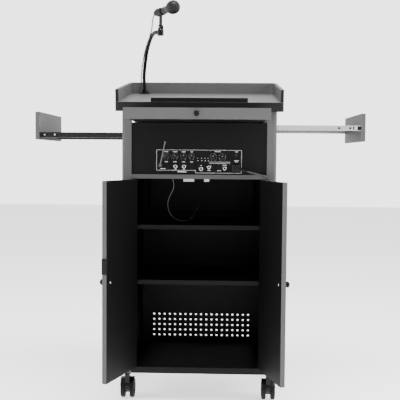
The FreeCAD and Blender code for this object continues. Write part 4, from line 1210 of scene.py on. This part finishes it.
# Control points of the gooseneck's centreline, and its winding, in millimetres.
NECK_ROUTE = (
    (-253, 419, 1250),
    (-255, 415, 1275),
    (-257, 406, 1310),
    (-253, 389, 1347),
    (-245, 361, 1384),
    (-236, 322, 1415),
    (-224, 275, 1438),
    (-211, 224, 1455),
    (-197, 175, 1465),
    (-183, 133, 1466),
    (-171, 108, 1460),
    (-160, 94, 1452),
)
NECK_RADIUS = 7.05
NECK_PITCH = 3.4
NECK_RIDGE = 0.5
# The microphone's pivot, its turn about the upright, the ball's middle above and ahead
# of the pivot, and the ball's radius.
MIC_PIVOT = np.array([-159, 92, 1480])
MIC_TURN = math.radians(-59)
MIC_LIFT = 60
MIC_BALL = 108.5
BALL_RADIUS = 26
# Along the axis and out from it, as shares of the ball's radius.
BALL_PROFILE = (
    (-0.8, -0.5, -0.08, 0.08, 0.42, 0.72, 0.93, 1.0),
    (0.76, 0.95, 1.0, 1.0, 0.92, 0.7, 0.37, 0.02),
)
# The two halves of the mesh, each side of the ball's band: start, end and rings.
BALL_HALVES = (("rear", -0.8, -0.1, 40), ("front", 0.1, 0.99, 70))
WEAVE_COLUMNS = 336
WEAVE_WIRES = 28
WEAVE_SLANT = 1.25
# In millimetres: the gap over the CAD ball, and a wire's rise on its side and its nose.
WEAVE_GAP = 0.1
SIDE_WIRE = 0.4
NOSE_WIRE = 0.3
# The clip's sides, and a place past them that gives its screws their direction.
CLIP_SIDE = 8.3
CLIP_BEYOND = 10
CLIP_SCREW = 5


def on_mic(along, across, up):
    """A place in the microphone's frame, in millimetres from its pivot."""
    x = along * math.cos(MIC_TURN) - across * math.sin(MIC_TURN)
    y = along * math.sin(MIC_TURN) + across * math.cos(MIC_TURN)
    return front_place(MIC_PIVOT[0] + x, MIC_PIVOT[1] + y, MIC_PIVOT[2] + up)


def ball_mesh(start, end, rows):
    """Part of the woven ball: the profile turned round the microphone's axis.

    The wires stand rise * max(|cos k(f + p)|^6, |cos k(f - p)|^6) above it, where f is
    the angle round the axis, p is the slant times the place along the profile and k is
    half the wires of one way.  They rise outwards on the side and ahead on the nose.
    """
    along = np.linspace(start, end, rows)
    radius = np.interp(along, BALL_PROFILE[0], BALL_PROFILE[1]) * BALL_RADIUS
    angle = np.linspace(0, 2 * np.pi, WEAVE_COLUMNS, endpoint=False)
    slope = along[:, None] * WEAVE_SLANT
    weave = np.maximum(
        np.abs(np.cos(WEAVE_WIRES * (angle[None] + slope))) ** 6,
        np.abs(np.cos(WEAVE_WIRES * (angle[None] - slope))) ** 6,
    )
    fade = np.clip(radius / BALL_RADIUS * 2, 0, 1)[:, None]
    reach = radius[:, None] + WEAVE_GAP + SIDE_WIRE * weave * fade
    reach = np.minimum(reach, BALL_RADIUS)
    lift = along[:, None] * BALL_RADIUS + NOSE_WIRE * weave * (1 - fade)
    ahead = np.array([math.cos(MIC_TURN), math.sin(MIC_TURN), 0])
    beside = np.array([-math.sin(MIC_TURN), math.cos(MIC_TURN), 0])
    spokes = np.cos(angle)[:, None] * beside + np.sin(angle)[:, None] * np.array([0, 0, 1.0])
    centre = MIC_PIVOT + ahead * MIC_BALL + np.array([0, 0, MIC_LIFT])
    points = centre + lift[..., None] * ahead + reach[..., None] * spokes[None]
    return points.reshape(-1, 3) * MM + FRONT_ORIGIN, tube_faces(rows, WEAVE_COLUMNS)


class LECTERN_OT_microphone(bpy.types.Operator):
    """Finish the gooseneck, clip and microphone, with a wound arm and a woven ball"""

    bl_idname = "lectern.microphone"
    bl_label = "Microphone"

    def execute(self, context):
        enamel = powder_coat("gooseneck_enamel", linear("#0b0b0c"), 0.35)
        dress(["gooseneck"], enamel)
        dress(["mic_clip"], moulded_plastic("clip_nylon", linear("#101011"), 0.5))
        dress(["microphone"], powder_coat("microphone_enamel", linear("#0e0e0f"), 0.4))
        points, faces, _ = swept_tube(
            NECK_ROUTE, NECK_RADIUS, NECK_PITCH / 6, 18, ridge=NECK_RIDGE, pitch=NECK_PITCH
        )
        mesh_piece("wound_gooseneck", points, faces, enamel, "cabinet")
        wire = powder_coat("ball_wire_enamel", linear("#1a1a1b"), 0.35)
        for name, start, end, rows in BALL_HALVES:
            points, faces = ball_mesh(start, end, rows)
            mesh_piece(f"woven_ball_{name}", points, faces, wire, "mic")
        metal = nickel("clip_screw_nickel")
        for name, hand in (("near", -1), ("far", 1)):
            place = on_mic(0, hand * CLIP_SIDE, 0)
            axis = np.array(on_mic(0, hand * CLIP_BEYOND, 0)) - np.array(place)
            screws(f"clip_screw_{name}", [place], [axis], CLIP_SCREW * MM, metal, "cabinet")
        return {"FINISHED"}


# ---------------------------------------------------------------- casters and grille


# The hub's depth in a wheel's side and the cap in it, in millimetres.
HUB_DEPTH = 6
AXLE_CAP = ((15, 0), (15, 1.2), (13.5, 2.4), (8, 3.3), (3, 3.6))


class LECTERN_OT_running_gear(bpy.types.Operator):
    """Finish the casters and the speaker grille"""

    bl_idname = "lectern.running_gear"
    bl_label = "Casters and grille"

    def execute(self, context):
        nylon = moulded_plastic("caster_nylon", linear("#161617"), 0.4)
        rubber = moulded_plastic("caster_tread", linear("#121212"), 0.6)
        cap = moulded_plastic("axle_cap_nylon", linear("#3c3c3d"), 0.35)
        for where in ("front_left", "front_right", "rear_left", "rear_right"):
            dress([f"caster_{where}_yoke"], nylon)
            dress([f"caster_{where}_wheels"], rubber)
            self.cap_axles(where, cap)
        dress(["speaker_grille"], powder_coat("grille_enamel", linear("#101011")))
        dress(["cord_clips"], moulded_plastic("cord_clip_nylon", linear("#141414"), 0.5))
        dress(
            ["power_plug", "cord_connector"],
            moulded_plastic("plug_vinyl", linear("#121213"), 0.45),
        )
        return {"FINISHED"}

    def cap_axles(self, where, material):
        """A domed cap in the hub of each of a caster's two wheels."""
        low, high = (Vector(c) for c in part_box(f"caster_{where}_wheels"))
        middle = (low + high) / 2
        hub = (high.x - low.x) / 2 - HUB_DEPTH * MM
        places = [middle + Vector((hand * hub, 0, 0)) for hand in (-1, 1)]
        ways = [(-1, 0, 0), (1, 0, 0)]
        points, faces = turned(places, ways, in_metres(AXLE_CAP), 28)
        body = f"caster_{where}_rollers"
        mesh_piece(f"caster_{where}_caps", points, faces, material, body)


# ---------------------------------------------------------------- stage


def look(yaw, pitch, roll):
    """Camera axes from its turn to the left, its tilt up and its roll, in radians."""
    ahead = Vector((-math.sin(yaw), math.cos(yaw), 0))
    right = Vector((math.cos(yaw), math.sin(yaw), 0))
    up = Vector((0, 0, 1))
    forward = ahead * math.cos(pitch) + up * math.sin(pitch)
    above = up * math.cos(pitch) - ahead * math.sin(pitch)
    rolled_right = right * math.cos(roll) + above * math.sin(roll)
    rolled_up = above * math.cos(roll) - right * math.sin(roll)
    return Matrix((rolled_right, rolled_up, -forward)).transposed()


def soft_light(name, place, target, size, power):
    """A soft box at a place, turned to a target, in metres and watts."""
    light = bpy.data.lights.new(name, "AREA")
    light.shape = "RECTANGLE"
    light.size, light.size_y = size
    light.energy = power
    lamp = bpy.data.objects.new(name, light)
    lamp.location = place
    lamp.rotation_euler = (Vector(target) - Vector(place)).to_track_quat("-Z", "Y").to_euler()
    bpy.context.collection.objects.link(lamp)


# Name, place, target, size and power of each soft box.
LIGHTS = (
    ("right_softbox", (3.4, -1.0, 2.2), (0, 0, 0.9), (1.6, 2.0), 150),
    ("left_softbox", (-3.4, -0.9, 2.0), (0, 0, 0.9), (1.6, 2.0), 110),
    ("top_softbox", (0.3, -1.0, 3.6), (0, 0, 1.1), (2.0, 1.6), 170),
    ("front_fill", (0.9, -4.2, 1.6), (0, 0, 0.8), (1.4, 1.4), 14),
)
# Strengths of the world in front of and behind the lectern, and of the floor.
ROOM_GLOW = 0.42
BACKDROP_GLOW = 3.2
FLOOR_GLOW = 1.25
FLOOR_REACH = 12.0
# Lens and sensor in millimetres, place from the front plane, and turn, tilt and roll.
CAMERA_LENS = 69.75
CAMERA_SENSOR = 36
CAMERA_PLACE = (98.3, -3004, 972)
CAMERA_LOOK = (0.031, -0.057, 0.0077)


class LECTERN_OT_stage(bpy.types.Operator):
    """Set the white floor, the studio lights and the camera"""

    bl_idname = "lectern.stage"
    bl_label = "Stage"

    def execute(self, context):
        mesh = bpy.data.meshes.new("studio_floor")
        reach = FLOOR_REACH
        corners = [(-reach, -reach, 0), (reach, -reach, 0), (reach, reach, 0), (-reach, reach, 0)]
        mesh.from_pydata(corners, [], [(0, 1, 2, 3)])
        floor = bpy.data.objects.new("studio_floor", mesh)
        context.collection.objects.link(floor)
        # White seamless paper: it gives a bright ground that takes a faint shadow.
        material, tree, shader = new_material("studio_floor_paper")
        fill(tree, shader, Base_Color=linear("#ffffff"), Roughness=0.9)
        fill(tree, shader, Emission_Color=linear("#ffffff"), Emission_Strength=FLOOR_GLOW)
        mesh.materials.append(material)

        self.set_world(context)
        for light in LIGHTS:
            soft_light(*light)

        camera = bpy.data.cameras.new("studio_camera")
        camera.lens = CAMERA_LENS
        camera.sensor_width = CAMERA_SENSOR
        eye = bpy.data.objects.new("studio_camera", camera)
        stand = Matrix.Translation(front_place(*CAMERA_PLACE))
        eye.matrix_world = stand @ look(*CAMERA_LOOK).to_4x4()
        context.collection.objects.link(eye)
        context.scene.camera = eye
        return {"FINISHED"}

    def set_world(self, context):
        """A paper backdrop behind the lectern and a dimmer room in front of it."""
        world = bpy.data.worlds.new("studio_world")
        world.use_nodes = True
        tree = world.node_tree
        way = node(tree, "ShaderNodeTexCoord").outputs["Generated"]
        split = node(tree, "ShaderNodeSeparateXYZ", {"Vector": way})
        glow = node(
            tree,
            "ShaderNodeMapRange",
            {
                "Value": split.outputs["Y"],
                "From Min": 0.35,
                "From Max": 0.85,
                "To Min": ROOM_GLOW,
                "To Max": BACKDROP_GLOW,
            },
            interpolation_type="SMOOTHSTEP",
        )
        backdrop = tree.nodes["Background"]
        backdrop.inputs["Color"].default_value = (1, 1, 1, 1)
        tree.links.new(glow.outputs["Result"], backdrop.inputs["Strength"])
        context.scene.world = world


# ---------------------------------------------------------------- add-on

STEPS = (
    LECTERN_OT_stage,
    LECTERN_OT_cords,
    LECTERN_OT_cabinet,
    LECTERN_OT_desk,
    LECTERN_OT_doors,
    LECTERN_OT_slides,
    LECTERN_OT_amplifier,
    LECTERN_OT_microphone,
    LECTERN_OT_running_gear,
)


class LECTERN_PT_panel(bpy.types.Panel):
    """Lists the lectern's steps, sizes and colours"""

    bl_idname = "LECTERN_PT_panel"
    bl_label = "Presentation Lectern"
    bl_space_type = "VIEW_3D"
    bl_region_type = "UI"
    bl_category = "Lectern"

    def draw(self, context):
        for step in STEPS:
            self.layout.operator(step.bl_idname)
        for group in (context.scene.lectern_sizes, context.scene.lectern_colours):
            for name in group.__annotations__:
                self.layout.prop(group, name)


CLASSES = (LecternColours, LecternSizes, *STEPS, LECTERN_PT_panel)


def register():
    """Add the classes and the scene's settings."""
    for cls in CLASSES:
        bpy.utils.register_class(cls)
    bpy.types.Scene.lectern_colours = bpy.props.PointerProperty(type=LecternColours)
    bpy.types.Scene.lectern_sizes = bpy.props.PointerProperty(type=LecternSizes)


def unregister():
    """Take away the settings and the classes."""
    del bpy.types.Scene.lectern_sizes
    del bpy.types.Scene.lectern_colours
    for cls in reversed(CLASSES):
        bpy.utils.unregister_class(cls)


def main():
    """Run every step in order."""
    register()
    for step in STEPS:
        group, name = step.bl_idname.split(".")
        getattr(getattr(bpy.ops, group), name)()


if __name__ == "__main__":
    main()
